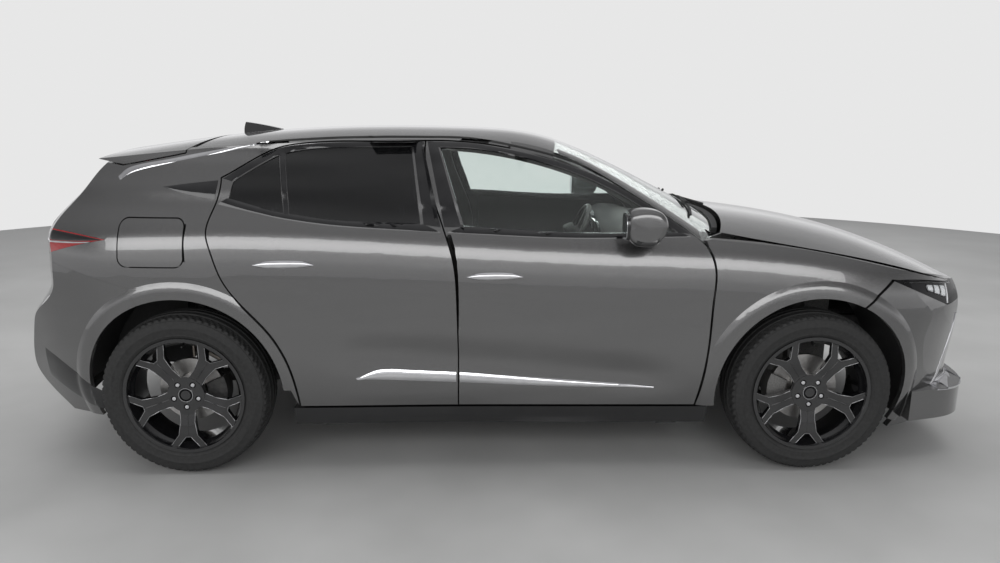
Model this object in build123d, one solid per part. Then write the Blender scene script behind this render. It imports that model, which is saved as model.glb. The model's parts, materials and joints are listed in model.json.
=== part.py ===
"""A five-door hatchback as an assembly of its real panels, glass, cabin, running gear and hinges.

Frame: millimetres, +X to the front of the car, +Y to its left, +Z up, origin on the ground under the middle.
The right side is modelled and the left side is its mirror image.
"""

from build123d import *
import math
import os

# Overall sizes
LENGTH = 4400.0
HALF_WIDTH = 913.0
WHEELBASE = 2675.0
FRONT_OVERHANG = 905.0
TRACK = 1600.0
NOSE_X = LENGTH / 2
TAIL_X = -LENGTH / 2
FRONT_AXLE_X = NOSE_X - FRONT_OVERHANG
REAR_AXLE_X = FRONT_AXLE_X - WHEELBASE

# Walls and gaps
PANEL_GAP = 6.0
DOOR_WALL = 68.0
DOOR_EDGE_WALL = 44.0
DOOR_FRAME_WALL = 32.0
SEAL_GAP = 7.0
FRAME_WALL = 46.0
WING_WALL = 24.0
HOOD_WALL = 26.0
SIDE_WALL = 40.0
ROOF_WALL = 30.0
BUMPER_WALL = 34.0
TAILGATE_WALL = 42.0
GLASS_SINK = 5.0
GLASS_WALL = 5.0
SEAT_CLEARANCE = 0.3

# Wheels
TYRE_RADIUS = 354.0
TYRE_WIDTH = 205.0
TREAD_WIDTH = 178.0
RIM_RADIUS = 254.0
RIM_BARREL_RADIUS = 228.0
RIM_WALL = 9.0
SPOKE_COUNT = 5
LUG_COUNT = 5
LUG_CIRCLE = 54.0
LUG_RADIUS = 7.0
HUB_BORE = 32.5
DISC_RADIUS = 148.0
DISC_WALL = 26.0
ARCH_RADIUS = 420.0
FLARE_RADIUS = 512.0
FLARE_CREST = 452.0
FLARE_HEIGHT = 11.0
FLARE_ROOT = 3.0
ARCH_RISE = 8.0
STEER_AXIS_Y = 640.0

# Hinge axes and their travel parts
HINGE_PIN_RADIUS = 7.0
HINGE_CLEARANCE = 0.3
HINGE_HEIGHTS = (440.0, 800.0)
FRONT_HINGE_X = 778.0
REAR_HINGE_X = -256.0
SWING_REACH = 1.19


# Curves
def smooth(*points):
    """A natural cubic curve through (x, value) points, straight beyond its ends."""
    points = sorted(points)
    xs = [p[0] for p in points]
    ys = [p[1] for p in points]
    n = len(xs)
    steps = [xs[i + 1] - xs[i] for i in range(n - 1)]
    slopes = [(ys[i + 1] - ys[i]) / steps[i] for i in range(n - 1)]
    bends = [0.0] * n
    upper = [0.0] * n
    for i in range(1, n - 1):
        pivot = 2 * (steps[i - 1] + steps[i]) - steps[i - 1] * upper[i - 1]
        upper[i] = steps[i] / pivot
        bends[i] = (6 * (slopes[i] - slopes[i - 1]) - steps[i - 1] * bends[i - 1]) / pivot
    for i in range(n - 2, 0, -1):
        bends[i] -= upper[i] * bends[i + 1]

    def slope_at_start(i):
        return slopes[i] - steps[i] * (2 * bends[i] + bends[i + 1]) / 6

    first_slope = slope_at_start(0)
    last_slope = slopes[-1] + steps[-1] * (bends[-2] + 2 * bends[-1]) / 6

    def value(x):
        if x <= xs[0]:
            return ys[0] + first_slope * (x - xs[0])
        if x >= xs[-1]:
            return ys[-1] + last_slope * (x - xs[-1])
        i = max(k for k in range(n - 1) if xs[k] <= x)
        d = x - xs[i]
        curl = (bends[i + 1] - bends[i]) / (6 * steps[i])
        return ys[i] + d * (slope_at_start(i) + d * (bends[i] / 2 + d * curl))

    return value


def ramp(t):
    """0 below 0, 1 above 1, and an even S between."""
    t = min(1.0, max(0.0, t))
    return t * t * t * (t * (6 * t - 15) + 10)


def capped(value, limit, softness):
    """The value, easing off to the limit."""
    under = limit - value
    return limit - (under + math.hypot(under, softness)) / 2


def spread(low, high, count):
    return [low + (high - low) * i / (count - 1) for i in range(count)]


# Body surfaces: the side y(x, z), the tops z(x, y), the nose and the tail x(y, z)
NOSE_TAPER = 233.0
TAIL_TAPER = 128.0
WAIST = smooth((2200, 560), (1900, 640), (1500, 730), (1000, 795), (400, 815), (-400, 850), (-1000, 880), (-1500, 885), (-2200, 870))
LOWER_TUCK = smooth((100, 110), (200, 72), (300, 40), (430, 14), (600, 1), (760, 0), (1000, 0))
SHOULDER = smooth((-200, 0), (0, 0), (80, 7), (140, 21), (190, 46), (240, 82), (340, 130), (440, 184), (540, 248), (620, 310))
CABIN_TAPER = smooth((1100, 60), (600, 46), (100, 22), (-400, 0), (-900, 6), (-1300, 40), (-1700, 105), (-2100, 170))
SCOOP_DEPTH = 20.0
SCOOP_LINE = smooth((-900, 560), (-220, 520), (400, 460), (900, 420))
SCOOP_HALF = 95.0


def half_width(x):
    front = capped(max(0.0, (x - FRONT_AXLE_X) / (1992 - FRONT_AXLE_X)), 1.22, 0.1)
    rear = capped(max(0.0, (REAR_AXLE_X + 60 - x) / (REAR_AXLE_X + 60 + 1935)), 1.4, 0.1)
    waisted = 10 * (1 - ramp(abs(x + 40) / 900))
    return HALF_WIDTH - NOSE_TAPER * max(0.0, front) ** 3.1 - TAIL_TAPER * max(0.0, rear) ** 2.4 - waisted


def scoop(x, z):
    across = (z - SCOOP_LINE(x)) / SCOOP_HALF
    along = ramp((x + 860) / 330) * ramp((800 - x) / 330)
    return SCOOP_DEPTH * along * math.exp(-1.6 * across * across)


def side(x, z):
    """Half-width of the body at station x and height z."""
    rise = capped(z - WAIST(x), 640, 60)
    cabin = CABIN_TAPER(x) * max(0.0, rise / 600) ** 2
    return half_width(x) - LOWER_TUCK(z) - SHOULDER(rise) - cabin - scoop(x, z)


HOOD_LINE = smooth((2240, 610), (2190, 716), (2120, 784), (1950, 872), (1710, 958), (1358, 1030), (1055, 1064), (800, 1082), (400, 1096))
HOOD_CROWN = smooth((2200, 40), (1900, 66), (1300, 56), (800, 48))
ROOF_LINE = smooth((1300, 868), (1000, 1044), (700, 1202), (400, 1346), (150, 1430), (-150, 1461), (-500, 1468), (-900, 1460), (-1300, 1429), (-1800, 1362), (-2300, 1285))
ROOF_CROWN = smooth((1100, 62), (600, 58), (200, 46), (-300, 38), (-1000, 36), (-1700, 30))


def hood_top(x, y):
    return HOOD_LINE(x) - HOOD_CROWN(x) * (abs(y) / 750) ** 2.2


def roof_top(x, y):
    return ROOF_LINE(x) - ROOF_CROWN(x) * (abs(y) / 560) ** 2.2


NOSE_LINE = smooth((80, -76), (150, -38), (215, -6), (280, -9), (340, -26), (450, -20), (600, -4), (680, -3), (750, -24), (850, -96), (950, -190))
TAIL_LINE = smooth((100, 190), (220, 165), (300, 92), (400, 14), (480, 0), (600, 6), (700, 26), (760, 66), (860, 74), (960, 76), (1030, 92), (1090, 142), (1200, 264), (1330, 400), (1420, 550), (1500, 660))
TAIL_SWEEP = smooth((100, 120), (480, 118), (700, 150), (900, 178), (1100, 170), (1400, 150))


def nose(y, z):
    return NOSE_X + NOSE_LINE(z) - 208 * (abs(y) / 690) ** 3.5


def tail(y, z):
    return TAIL_X + TAIL_LINE(z) + TAIL_SWEEP(z) * (abs(y) / 750) ** 2.8


# Skins and slabs made from the surfaces
SIDE_X = spread(-2240, 2240, 40)
SIDE_Z = spread(120, 1490, 28)
TOP_Y = spread(-980, 980, 11)
END_Y = spread(-980, 980, 15)
END_Z = spread(60, 1480, 28)
FIT = 0.3


def skin(point, us, vs):
    return Face.make_surface_from_array_of_points(
        [[Vector(*point(u, v)) for v in vs] for u in us], tol=FIT, min_deg=3, max_deg=3
    )


def side_slab(outer, inner):
    """The right side's wall between two depths below the outer skin."""
    face = skin(lambda x, z: (x, -(side(x, z) - outer), z), SIDE_X, SIDE_Z)
    return extrude(face, amount=inner - outer, dir=(0, 1, 0))


BETWEEN_SIDES = {}


def within_sides(depth):
    """The whole width of the car between its side skins, moved in by a depth."""
    if depth in BETWEEN_SIDES:
        return BETWEEN_SIDES[depth]
    face = skin(lambda x, z: (x, -(side(x, z) - depth), z), SIDE_X, SIDE_Z)
    right = extrude(face, amount=1300, dir=(0, 1, 0)) & block((-2236, 2236), (-1200, 0), (126, 1484))
    BETWEEN_SIDES[depth] = right + mirror(right, about=Plane.XZ)
    return BETWEEN_SIDES[depth]


def top_slab(surface, xs, outer, inner):
    face = skin(lambda x, y: (x, y, surface(x, y) - outer), xs, TOP_Y)
    return extrude(face, amount=inner - outer, dir=(0, 0, -1))


def nose_slab(outer, inner):
    face = skin(lambda y, z: (nose(y, z) - outer, y, z), END_Y, END_Z)
    return extrude(face, amount=inner - outer, dir=(-1, 0, 0))


def tail_slab(outer, inner):
    face = skin(lambda y, z: (tail(y, z) + outer, y, z), END_Y, END_Z)
    return extrude(face, amount=inner - outer, dir=(1, 0, 0))


HOOD_X = spread(380, 2300, 22)
ROOF_X = spread(-2350, 1330, 28)
DEEP = 1600.0


# Outlines
def path(*pieces):
    """A closed face from a run of points and curves: a list is a smooth curve, a tuple a corner."""
    edges = []
    last = None
    first = None
    for piece in pieces:
        points = piece if isinstance(piece, list) else [piece]
        if first is None:
            first = points[0]
        if last is not None and last != points[0]:
            edges.append(Line(last, points[0]))
        if len(points) > 1:
            edges.append(Spline(*points))
        last = points[-1]
    if last != first:
        edges.append(Line(last, first))
    return make_face(edges)


def side_prism(face, depth=1300.0):
    return extrude(Plane.XZ * face, amount=depth, dir=(0, -1, 0))


def plan_prism(face, low=0.0, high=1700.0):
    return extrude(Pos(0, 0, low) * face, amount=high - low, dir=(0, 0, 1))


def end_prism(face, low, high):
    return extrude(Pos(low, 0, 0) * (Plane.YZ * face), amount=high - low, dir=(1, 0, 0))


def bar(a, b, radius):
    """A round bar between two points."""
    a, b = Vector(*a), Vector(*b)
    return Solid.make_cylinder(radius, (b - a).length, Plane(origin=a, z_dir=b - a))


def block(x, y, z):
    """A box from its ranges."""
    return Pos((x[0] + x[1]) / 2, (y[0] + y[1]) / 2, (z[0] + z[1]) / 2) * Box(
        abs(x[1] - x[0]), abs(y[1] - y[0]), abs(z[1] - z[0])
    )


def both(part):
    """The right-hand solids and their mirror images, as one list."""
    return [*part.solids(), *mirror(part, about=Plane.XZ).solids()]


LIGHT_FILES = ("headlamps", "tail_lamps", "front_lips")


def save(name, *parts):
    """Write one node's file; the light ones leave out the flat copies of their edges, which a reader makes again."""
    solids = [s for part in parts for s in (part if isinstance(part, list) else part.solids())]
    shape = Compound(children=solids) if len(solids) > 1 else solids[0]
    export_step(shape, f"parts/{name}.step", write_pcurves=name not in LIGHT_FILES)
    print(name, len(solids), [round(s.volume / 1e6, 2) for s in solids])


# Shut lines of the right side, in side view
SILL_Z = 296.0
FRONT_DOOR_EDGE = [(797, SILL_Z), (806, 350), (831, 580), (838, 780), (843, 890), (820, 974), (772, 1030)]
DOOR_SPLIT = [(-362, 1413), (-283, 1066), (-242, 940), (-226, 770), (-222, 486), (-224, SILL_Z)]
REAR_DOOR_EDGE = [(-1203, 1262), (-1214, 1166), (-1240, 1048), (-1224, 988), (-1180, 862), (-1100, 748), (-1010, 645), (-938, 510), (-908, 380), (-900, SILL_Z)]
FRONT_DOOR_TOP = [(772, 1030), (590, 1150), (420, 1248), (180, 1338), (-130, 1402), (-362, 1413)]
REAR_DOOR_TOP = [(-362, 1413), (-668, 1411), (-880, 1401), (-985, 1381), (-1090, 1328), (-1203, 1262)]
FRONT_WINDOW_TOP = [(-300, 1386), (-120, 1376), (180, 1312), (410, 1222), (560, 1138), (690, 1046)]
FRONT_WINDOW_SILL = [(690, 1046), (300, 1040), (-196, 1068)]
REAR_WINDOW_TOP = [(-421, 1388), (-660, 1386), (-860, 1376), (-948, 1361)]
REAR_WINDOW_SILL = [(-912, 1118), (-700, 1092), (-376, 1078)]
LIGHT_TOP = [(-972, 1354), (-1060, 1306), (-1150, 1250)]
LIGHT_SILL = [(-1166, 1178), (-1050, 1146), (-936, 1124)]
HOOD_SHUT = [(880, 1034), (1090, 1003), (1465, 938), (1830, 848), (1960, 812), (2060, 792), (2260, 770)]


def grown(face, amount):
    """An outline moved out, or in when the amount is negative, and drawn again as plain lines, arcs and curves."""
    corner = Kind.ARC if amount > -1 else Kind.INTERSECTION
    edges = []
    for edge in offset(face, amount=amount, kind=corner).face().outer_wire().edges():
        if edge.geom_type == GeomType.LINE:
            edges.append(Line(edge @ 0, edge @ 1))
        elif edge.geom_type == GeomType.CIRCLE:
            edges.append(ThreePointArc(edge @ 0, edge @ 0.5, edge @ 1))
        else:
            edges.append(Spline(*[edge @ t for t in spread(0, 1, 11)]))
    return make_face(edges)


FRONT_DOOR = path(FRONT_DOOR_EDGE, FRONT_DOOR_TOP, DOOR_SPLIT)
REAR_DOOR = path(DOOR_SPLIT[::-1], REAR_DOOR_TOP, REAR_DOOR_EDGE)
FRONT_WINDOW = path(FRONT_WINDOW_TOP, FRONT_WINDOW_SILL)
REAR_WINDOW = path(REAR_WINDOW_TOP, REAR_WINDOW_SILL)
QUARTER_LIGHT = path(LIGHT_TOP, LIGHT_SILL)



def arch_cut(axle_x, radius=ARCH_RADIUS):
    """The round wheel opening of the right side."""
    return Pos(axle_x, -750, TYRE_RADIUS + ARCH_RISE) * Rot(90, 0, 0) * Cylinder(radius, 700)


def flare(axle_x):
    """The raised lip round a wheel opening; its outer edge dives under the panel's skin."""
    angles = spread(math.radians(-22), math.radians(202), 29)
    radii = spread(ARCH_RADIUS - 12, FLARE_RADIUS, 8)

    def point(angle, radius):
        x = axle_x + radius * math.cos(angle)
        z = TYRE_RADIUS + ARCH_RISE + radius * math.sin(angle)
        lift = (FLARE_HEIGHT + FLARE_ROOT) * (1 - ramp((radius - FLARE_CREST) / (FLARE_RADIUS - FLARE_CREST))) - FLARE_ROOT
        return (x, -(side(x, z) + lift), z)

    return extrude(skin(point, angles, radii), amount=26, dir=(0, 1, 0))


def with_flare(panel, region, axle_x):
    """Put the flare on a side panel and open its wheel arch."""
    lip = flare(axle_x) & region
    return panel - arch_cut(axle_x, FLARE_CREST + 14) + lip - arch_cut(axle_x)


# Whole-body volumes
SIDES = within_sides(0)
ROOF_UNDER = top_slab(roof_top, ROOF_X, 0, DEEP)
HOOD_UNDER = top_slab(hood_top, HOOD_X, 0, DEEP)
NOSE_IN = nose_slab(0, DEEP)
TAIL_IN = tail_slab(0, DEEP)


def front_volume(depth):
    return within_sides(depth) & top_slab(hood_top, HOOD_X, depth, DEEP) & nose_slab(depth, DEEP)


def rear_volume(depth):
    return within_sides(depth) & tail_slab(depth, DEEP)


# Regions of the end panels in side view
def shut(offset_z, points=HOOD_SHUT):
    return [(x, z + offset_z) for x, z in points]


LAMP = path((1604, 848), [(1604, 848), (1780, 836), (1939, 808), (2080, 783)], (2300, 760), (2300, 700), (1944, 706))
LAMP_INNER_Y = 430.0
WING = path(
    [(803, SILL_Z), (812, 350), (837, 580), (844, 780), (849, 890), (828, 974), (800, 1012)],
    (884, 1028), shut(-6, HOOD_SHUT[1:5]), (1600, 853), (1466, 738), (1420, 560), (1000, 430), (920, SILL_Z)
)
BUMPER_SPLIT = [(1400, 650), (1476, 734), (1612, 846)]
FRONT_BUMPER = path((1400, 215), (1400, 650), (1476, 734), (1612, 846), (1900, 900), (2400, 900), (2400, 150), (1500, 150))
TAIL_LAMP = path((-1656, 1019), [(-1656, 1019), (-1800, 1038), (-1960, 1052)], (-2400, 1060), (-2400, 950), [(-1950, 946), (-1900, 962), (-1656, 1019)])
REAR_BUMPER = path((-1500, 690), (-1567, 824), (-1936, 919), (-1965, 938), (-2400, 944), (-2400, 150), (-1600, 150))
SPOILER = path((-1372, 1600), (-1372, 1362), (-1420, 1352), (-1590, 1320), (-1640, 1312), (-1770, 1330), (-1790, 1600))


def tailgate_outline(grow):
    right = [(455 + grow, 1420), (520 + grow, 1290), (577 + grow, 1180), (612 + grow, 1090), (618 + grow, 1030)]
    left = [(-y, z) for y, z in reversed(right)]
    low = 735 - grow
    return path((0, 1600), (440 + grow, 1600), right, (592 + grow, 930), (556 + grow, low), (-556 - grow, low),
                (-592 - grow, 930), left, (-440 - grow, 1600))


GRILLE = path((330, 728), (476, 610), (380, 330), (-380, 330), (-476, 610), (-330, 728))
SCREEN_TOP_X = 232.0
SCREEN_BASE_X = 985.0
HOOD_REAR_X = 1040.0


def bowed(x, sag, reach=760.0, count=7):
    """A plan curve across the car that runs back by sag at the reach."""
    return [(x - sag * (y / reach) ** 2, y) for y in spread(-960, 960, count)]


def ahead_of(x, sag):
    return plan_prism(path(bowed(x, sag), (2600, 960), (2600, -960)))


def behind(x, sag):
    return plan_prism(path(bowed(x, sag), (-2600, 960), (-2600, -960)))


def front_pillar_relief(x_axis, y_axis, edge_at, clearance, low, high):
    """The space swept by a door's leading edge, and by the skin just behind it, about its hinge axis."""
    profile = [(0, low)]
    for z in spread(low, high, 15):
        ahead = edge_at(z) - x_axis
        outside = side(edge_at(z), z) - y_axis
        reach = max(math.hypot(max(0.0, ahead), outside), SWING_REACH * outside)
        profile.append((reach + clearance, z))
    profile.append((0, high))
    swept = revolve(Plane.XZ * make_face(Polyline(*profile, close=True)), axis=Axis.Z)
    return Pos(x_axis, -y_axis, 0) * swept


FRONT_EDGE_AT = smooth((296, 797), (350, 806), (580, 831), (780, 838), (890, 843), (974, 820), (1030, 772))
SPLIT_AT = smooth((296, -224), (486, -222), (770, -226), (940, -242), (1066, -283), (1200, -314))
FRONT_HINGE_Y = 862.0
REAR_HINGE_Y = 856.0
WINDOW_FRAMES = path((900, 970), (700, 1000), (-300, 1040), (-1300, 1110), (-1300, 1600), (900, 1600))


def rear_edge_at(z):
    return SPLIT_AT(z) - PANEL_GAP / 2


def hinge_arm(x_axis, y_axis, z, inner_y, foot):
    """The pillar half of a door hinge: a foot on the pillar, an arm and its standing pin."""
    base = block((x_axis - 11, x_axis + foot), (-inner_y - 22, -inner_y), (z - 26, z - 6))
    arm = base + block((x_axis - 11, x_axis + 11), (-y_axis, -inner_y), (z - 26, z - 6))
    arm = arm + Pos(x_axis, -y_axis, z - 16) * Cylinder(11, 20)
    return arm + Pos(x_axis, -y_axis, z) * Cylinder(HINGE_PIN_RADIUS, 52)


def hinge_pocket(x_axis, y_axis, z, ahead):
    """What a door gives up for the arm and the pin."""
    room = block((x_axis - 18, x_axis + ahead), (-y_axis - 18, -y_axis + 120), (z - 32, z + 1))
    bore = Pos(x_axis, -y_axis, z + 16) * Cylinder(HINGE_PIN_RADIUS + HINGE_CLEARANCE, 32)
    return room + bore


def doors():
    wall = side_slab(0, DOOR_WALL)
    thin = side_slab(DOOR_EDGE_WALL, DOOR_WALL + 20)
    sheet = side_slab(GLASS_SINK, GLASS_SINK + GLASS_WALL)
    result = {}
    front = (wall & side_prism(grown(FRONT_DOOR, -PANEL_GAP / 2))) - side_prism(FRONT_WINDOW)
    front = front - (thin & block((FRONT_HINGE_X - 16, 1000), (-1200, 0), (200, 1200)))
    front = front - front_pillar_relief(REAR_HINGE_X, REAR_HINGE_Y, rear_edge_at, 4, 285, 1040)
    rear = (wall & side_prism(grown(REAR_DOOR, -PANEL_GAP / 2))) - side_prism(REAR_WINDOW) - side_prism(QUARTER_LIGHT)
    rear = rear - (thin & block((REAR_HINGE_X - 16, 0), (-1200, 0), (200, 1000)))
    slim = side_slab(DOOR_FRAME_WALL, DOOR_WALL + 20) & side_prism(WINDOW_FRAMES)
    front = front - slim
    rear = rear - slim
    for z in HINGE_HEIGHTS:
        front = front - hinge_pocket(FRONT_HINGE_X, FRONT_HINGE_Y, z, 120)
        rear = rear - hinge_pocket(REAR_HINGE_X, REAR_HINGE_Y, z, 60)
    result["front_door"] = front
    result["rear_door"] = rear
    result["front_glass"] = sheet & side_prism(grown(FRONT_WINDOW, -SEAT_CLEARANCE))
    rear_panes = (sheet & side_prism(grown(REAR_WINDOW, -SEAT_CLEARANCE))).solids()
    rear_panes += (sheet & side_prism(grown(QUARTER_LIGHT, -SEAT_CLEARANCE))).solids()
    result["rear_glass"] = Compound(children=rear_panes)
    return result


FUEL_FLAP_X = (-1598.0, -1332.0)
FUEL_FLAP_Z = (915.0, 1103.0)
FLAP_AXIS_X = FUEL_FLAP_X[1] - 8
FLAP_AXIS_Z = (975.0, 1045.0)
FLAP_DEPTH = 9.0


def flap_face(grow):
    width = FUEL_FLAP_X[1] - FUEL_FLAP_X[0] + 2 * grow
    height = FUEL_FLAP_Z[1] - FUEL_FLAP_Z[0] + 2 * grow
    return Pos(sum(FUEL_FLAP_X) / 2, sum(FUEL_FLAP_Z) / 2) * RectangleRounded(width, height, 34 + grow)


def flap_axis(z):
    """A point on the flap's hinge axis, which leans with the panel."""
    low = side(FLAP_AXIS_X, FLAP_AXIS_Z[0]) - FLAP_DEPTH
    high = side(FLAP_AXIS_X, FLAP_AXIS_Z[1]) - FLAP_DEPTH
    lean = (high - low) / (FLAP_AXIS_Z[1] - FLAP_AXIS_Z[0])
    return (FLAP_AXIS_X, -(low + lean * (z - FLAP_AXIS_Z[0])), z)


def body_sides():
    """The pressed side: windscreen pillar, cant rail, rear pillar and rear quarter."""
    region = path((890, 1042), (890, 1600), (-2400, 1600), (-2400, 700), (-1500, 700), (-1380, 380),
                  (-930, 380), (-900, 296), (-860, 296), (-860, 1040))
    region = region - grown(FRONT_DOOR, PANEL_GAP / 2) - grown(REAR_DOOR, PANEL_GAP / 2)
    region = region - grown(REAR_BUMPER, 0.5) - grown(TAIL_LAMP, 0.5) - grown(SPOILER, PANEL_GAP)
    panel = side_slab(0, SIDE_WALL) & side_prism(region)
    panel = with_flare(panel, side_prism(region), REAR_AXLE_X)
    panel = panel & ROOF_UNDER & TAIL_IN
    panel = panel - end_prism(tailgate_outline(PANEL_GAP), -2400, -1372)
    return max(panel.solids(), key=lambda s: s.volume)


def fuel_flap(panel):
    """Cut the filler recess in the right side and make its flap, with a pin standing in the recess."""
    middle = sum(FUEL_FLAP_Z) / 2
    recess = side_slab(-6, 30) & side_prism(flap_face(5))
    relief = bar(flap_axis(FUEL_FLAP_Z[0] + 20), flap_axis(FUEL_FLAP_Z[1] - 20), 18.5)
    panel = panel - recess - (relief & side_slab(-6, 30))
    pin = bar(flap_axis(middle - 36), flap_axis(middle + 36), 3)
    for z in (middle - 32, middle + 32):
        x, y, _ = flap_axis(z)
        pin = pin + block((x - 10, x - 1), (y, y + 27), (z - 4, z + 4))
    panel = panel + pin
    flap = side_slab(0, 7) & side_prism(flap_face(0))
    x, y, _ = flap_axis(middle)
    leaf = block((x - 40, x), (y - 12, y + 4), (middle - 20, middle + 20)) & side_slab(3, 40)
    knuckle = bar(flap_axis(middle - 20), flap_axis(middle + 20), 6.5)
    flap = flap + (knuckle & side_slab(3, 40)) + leaf
    flap = flap - bar(flap_axis(middle - 60), flap_axis(middle + 60), 3 + HINGE_CLEARANCE)
    return panel, flap


def tailgate():
    """The tailgate's pressing with its window opening, its glass, its lamps and the spoiler along its top."""
    outline = end_prism(tailgate_outline(0), -2400, -1372)
    cap = (SIDES & ROOF_UNDER) - (within_sides(24) & top_slab(roof_top, ROOF_X, 24, DEEP))
    spoiler = cap & side_prism(SPOILER, 1300)
    spoiler = spoiler + mirror(spoiler, about=Plane.XZ)
    under_spoiler = within_sides(24.3) & top_slab(roof_top, ROOF_X, 24.3, DEEP)
    panel = tail_slab(0, TAILGATE_WALL) & outline & under_spoiler
    window = path((0, 1480), (432, 1480), [(432, 1400), (480, 1290), (534, 1180), (566, 1100)], (540, 1086),
                  (-540, 1086), [(-566, 1100), (-534, 1180), (-480, 1290), (-432, 1400)], (-432, 1480))
    panel = panel - end_prism(window, -2400, -1300)
    glass = tail_slab(4, 9) & end_prism(grown(window, -SEAT_CLEARANCE), -2400, -1300) & under_spoiler
    strip = path((150, 1040), (700, 1052), (700, 956), (420, 965), (150, 990))
    lamp = tail_slab(0, 26) & outline & end_prism(strip, -2400, -1300)
    panel = panel - (tail_slab(-5, 26.3) & end_prism(grown(strip, SEAT_CLEARANCE), -2400, -1300))
    panel = panel - (tail_slab(-5, 26.3) & end_prism(grown(mirror(strip, about=Plane.YZ), SEAT_CLEARANCE), -2400, -1300))
    return panel, glass, both(lamp), spoiler


TAILGATE_AXIS = (-1380.0, 1392.0)
TAILGATE_HINGE_Y = 330.0
TAILGATE_PIN = 5.0


def cross_bar(axis, y_low, y_high, radius):
    """A bar along Y on a hinge axis given as (x, z)."""
    return bar((axis[0], y_low, axis[1]), (axis[0], y_high, axis[1]), radius)


def tailgate_hinge(roof, spoiler):
    """Header and pins under the roof's rear edge; pockets and bores in the spoiler."""
    x, z = TAILGATE_AXIS
    roof = roof - cross_bar(TAILGATE_AXIS, -620, 620, 39.5)
    header = block((-1345, -1290), (-480, 480), (1330, 1420)) & top_slab(roof_top, ROOF_X, 4, 400)
    roof = roof + header
    for sign in (-1, 1):
        near, far = sign * (TAILGATE_HINGE_Y - 14), sign * (TAILGATE_HINGE_Y + 14)
        low, high = min(near, far), max(near, far)
        roof = roof + block((x - 8, -1300), (low, high), (1334, 1350)) + block((x - 8, x + 8), (low, high), (1334, z))
        end = sign * (TAILGATE_HINGE_Y + 42)
        roof = roof + cross_bar(TAILGATE_AXIS, min(near, end), max(near, end), TAILGATE_PIN)
        roof = roof + cross_bar(TAILGATE_AXIS, low, high, 8)
        spoiler = spoiler - block((x - 16, x + 60), (low - 6, high + 6), (1250, z + 11))
        bore = sign * (TAILGATE_HINGE_Y + 48)
        spoiler = spoiler - cross_bar(TAILGATE_AXIS, min(near, bore), max(near, bore), TAILGATE_PIN + HINGE_CLEARANCE)
    return roof, spoiler


def front_end():
    """Hood, wings, bumper, grille and headlamps cut from one nose volume."""
    outer = front_volume(0)
    hood_skin = outer - front_volume(HOOD_WALL)
    above = path([(x, z) for x, z in HOOD_SHUT], (2400, 1400), (500, 1400), (500, 1090))
    above_prism = side_prism(above)
    above_both = above_prism + mirror(above_prism, about=Plane.XZ)
    hood = hood_skin & above_both & ahead_of(HOOD_REAR_X, 150)
    below = block((700, 2400), (-1200, 1200), (100, 1400)) - Pos(0, 0, -PANEL_GAP) * above_both
    wing_prism = side_prism(WING - grown(LAMP, 0.5))
    wing = side_slab(0, WING_WALL) & wing_prism & HOOD_UNDER
    wing = with_flare(wing, wing_prism, FRONT_AXLE_X)
    shell = (outer - front_volume(BUMPER_WALL)) & below
    bumper_prism = side_prism(FRONT_BUMPER)
    half = shell & bumper_prism
    half = with_flare(half, bumper_prism & below, FRONT_AXLE_X)
    half = half - side_prism(grown(WING, 0.5)) - (side_prism(grown(LAMP, 0.5)) & block((1500, 2400), (-1200, 0.5 - LAMP_INNER_Y), (600, 950)))
    bumper = half + mirror(half, about=Plane.XZ) - end_prism(GRILLE, 1500, 2400)
    bumper = tow_socket(max(bumper.solids(), key=lambda s: s.volume), 2060, 1, 480)
    grille = nose_slab(14, 34) & end_prism(grown(GRILLE, -SEAT_CLEARANCE), 1500, 2400)
    lamp = (outer - front_volume(60)) & below & side_prism(LAMP) & block((1500, 2400), (-1200, -LAMP_INNER_Y), (600, 950))
    return hood, wing, bumper, grille, lamp


TOW_Y = -450.0
TOW_RADIUS = 8.0
TOW_LENGTH = 60.0


def tow_socket(bumper, x, outward, z):
    """A socket for the screw-in towing eye, set back in a wider mouth through the bumper's skin."""
    end = x + outward * TOW_LENGTH
    bumper = bumper + bar((x, TOW_Y, z), (end + outward * 2, TOW_Y, z), 18)
    bumper = bumper - bar((end, TOW_Y, z), (end + outward * 90, TOW_Y, z), 13)
    return bumper - bar((x - outward, TOW_Y, z), (end, TOW_Y, z), TOW_RADIUS)


HOOD_AXIS = (880.0, 985.0)
HOOD_HINGE_Y = 668.0
HOOD_PIN = 6.0


def hood_hinge(hood, wing):
    """Arms under the hood's rear corners, and the pins on brackets inside the wings."""
    x, z = HOOD_AXIS
    plate = make_face(Polyline((x - 12, z - 12), (x + 12, z - 12), (985, 985), (985, 1023), (945, 1026), (x - 12, z + 12), close=True))
    arm = extrude(Pos(0, 8 - HOOD_HINGE_Y, 0) * (Plane.XZ * plate), amount=16, dir=(0, -1, 0))
    arm = arm - cross_bar(HOOD_AXIS, -HOOD_HINGE_Y - 20, -HOOD_HINGE_Y + 20, HOOD_PIN + HINGE_CLEARANCE)
    hood = hood + arm + mirror(arm, about=Plane.XZ)
    bracket = block((x - 12, x + 12), (-800, -HOOD_HINGE_Y - 14), (z - 12, z + 6)) + block((x - 12, x + 12), (-845, -790), (z - 12, z + 6))
    bracket = bracket & side_slab(10, 400)
    wing = wing + bracket + cross_bar(HOOD_AXIS, -HOOD_HINGE_Y - 20, -HOOD_HINGE_Y + 10, HOOD_PIN)
    return hood, wing


def rear_bumper():
    shell = rear_volume(0) - rear_volume(BUMPER_WALL)
    region = side_prism(REAR_BUMPER)
    half = shell & region
    half = with_flare(half, region, REAR_AXLE_X)
    half = half - end_prism(tailgate_outline(PANEL_GAP), -2400, -1500)
    half = half & block((-2400, -1400), (-1200, 0), (232, 1000))
    return tow_socket(half + mirror(half, about=Plane.XZ), -2080, -1, 560)


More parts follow.
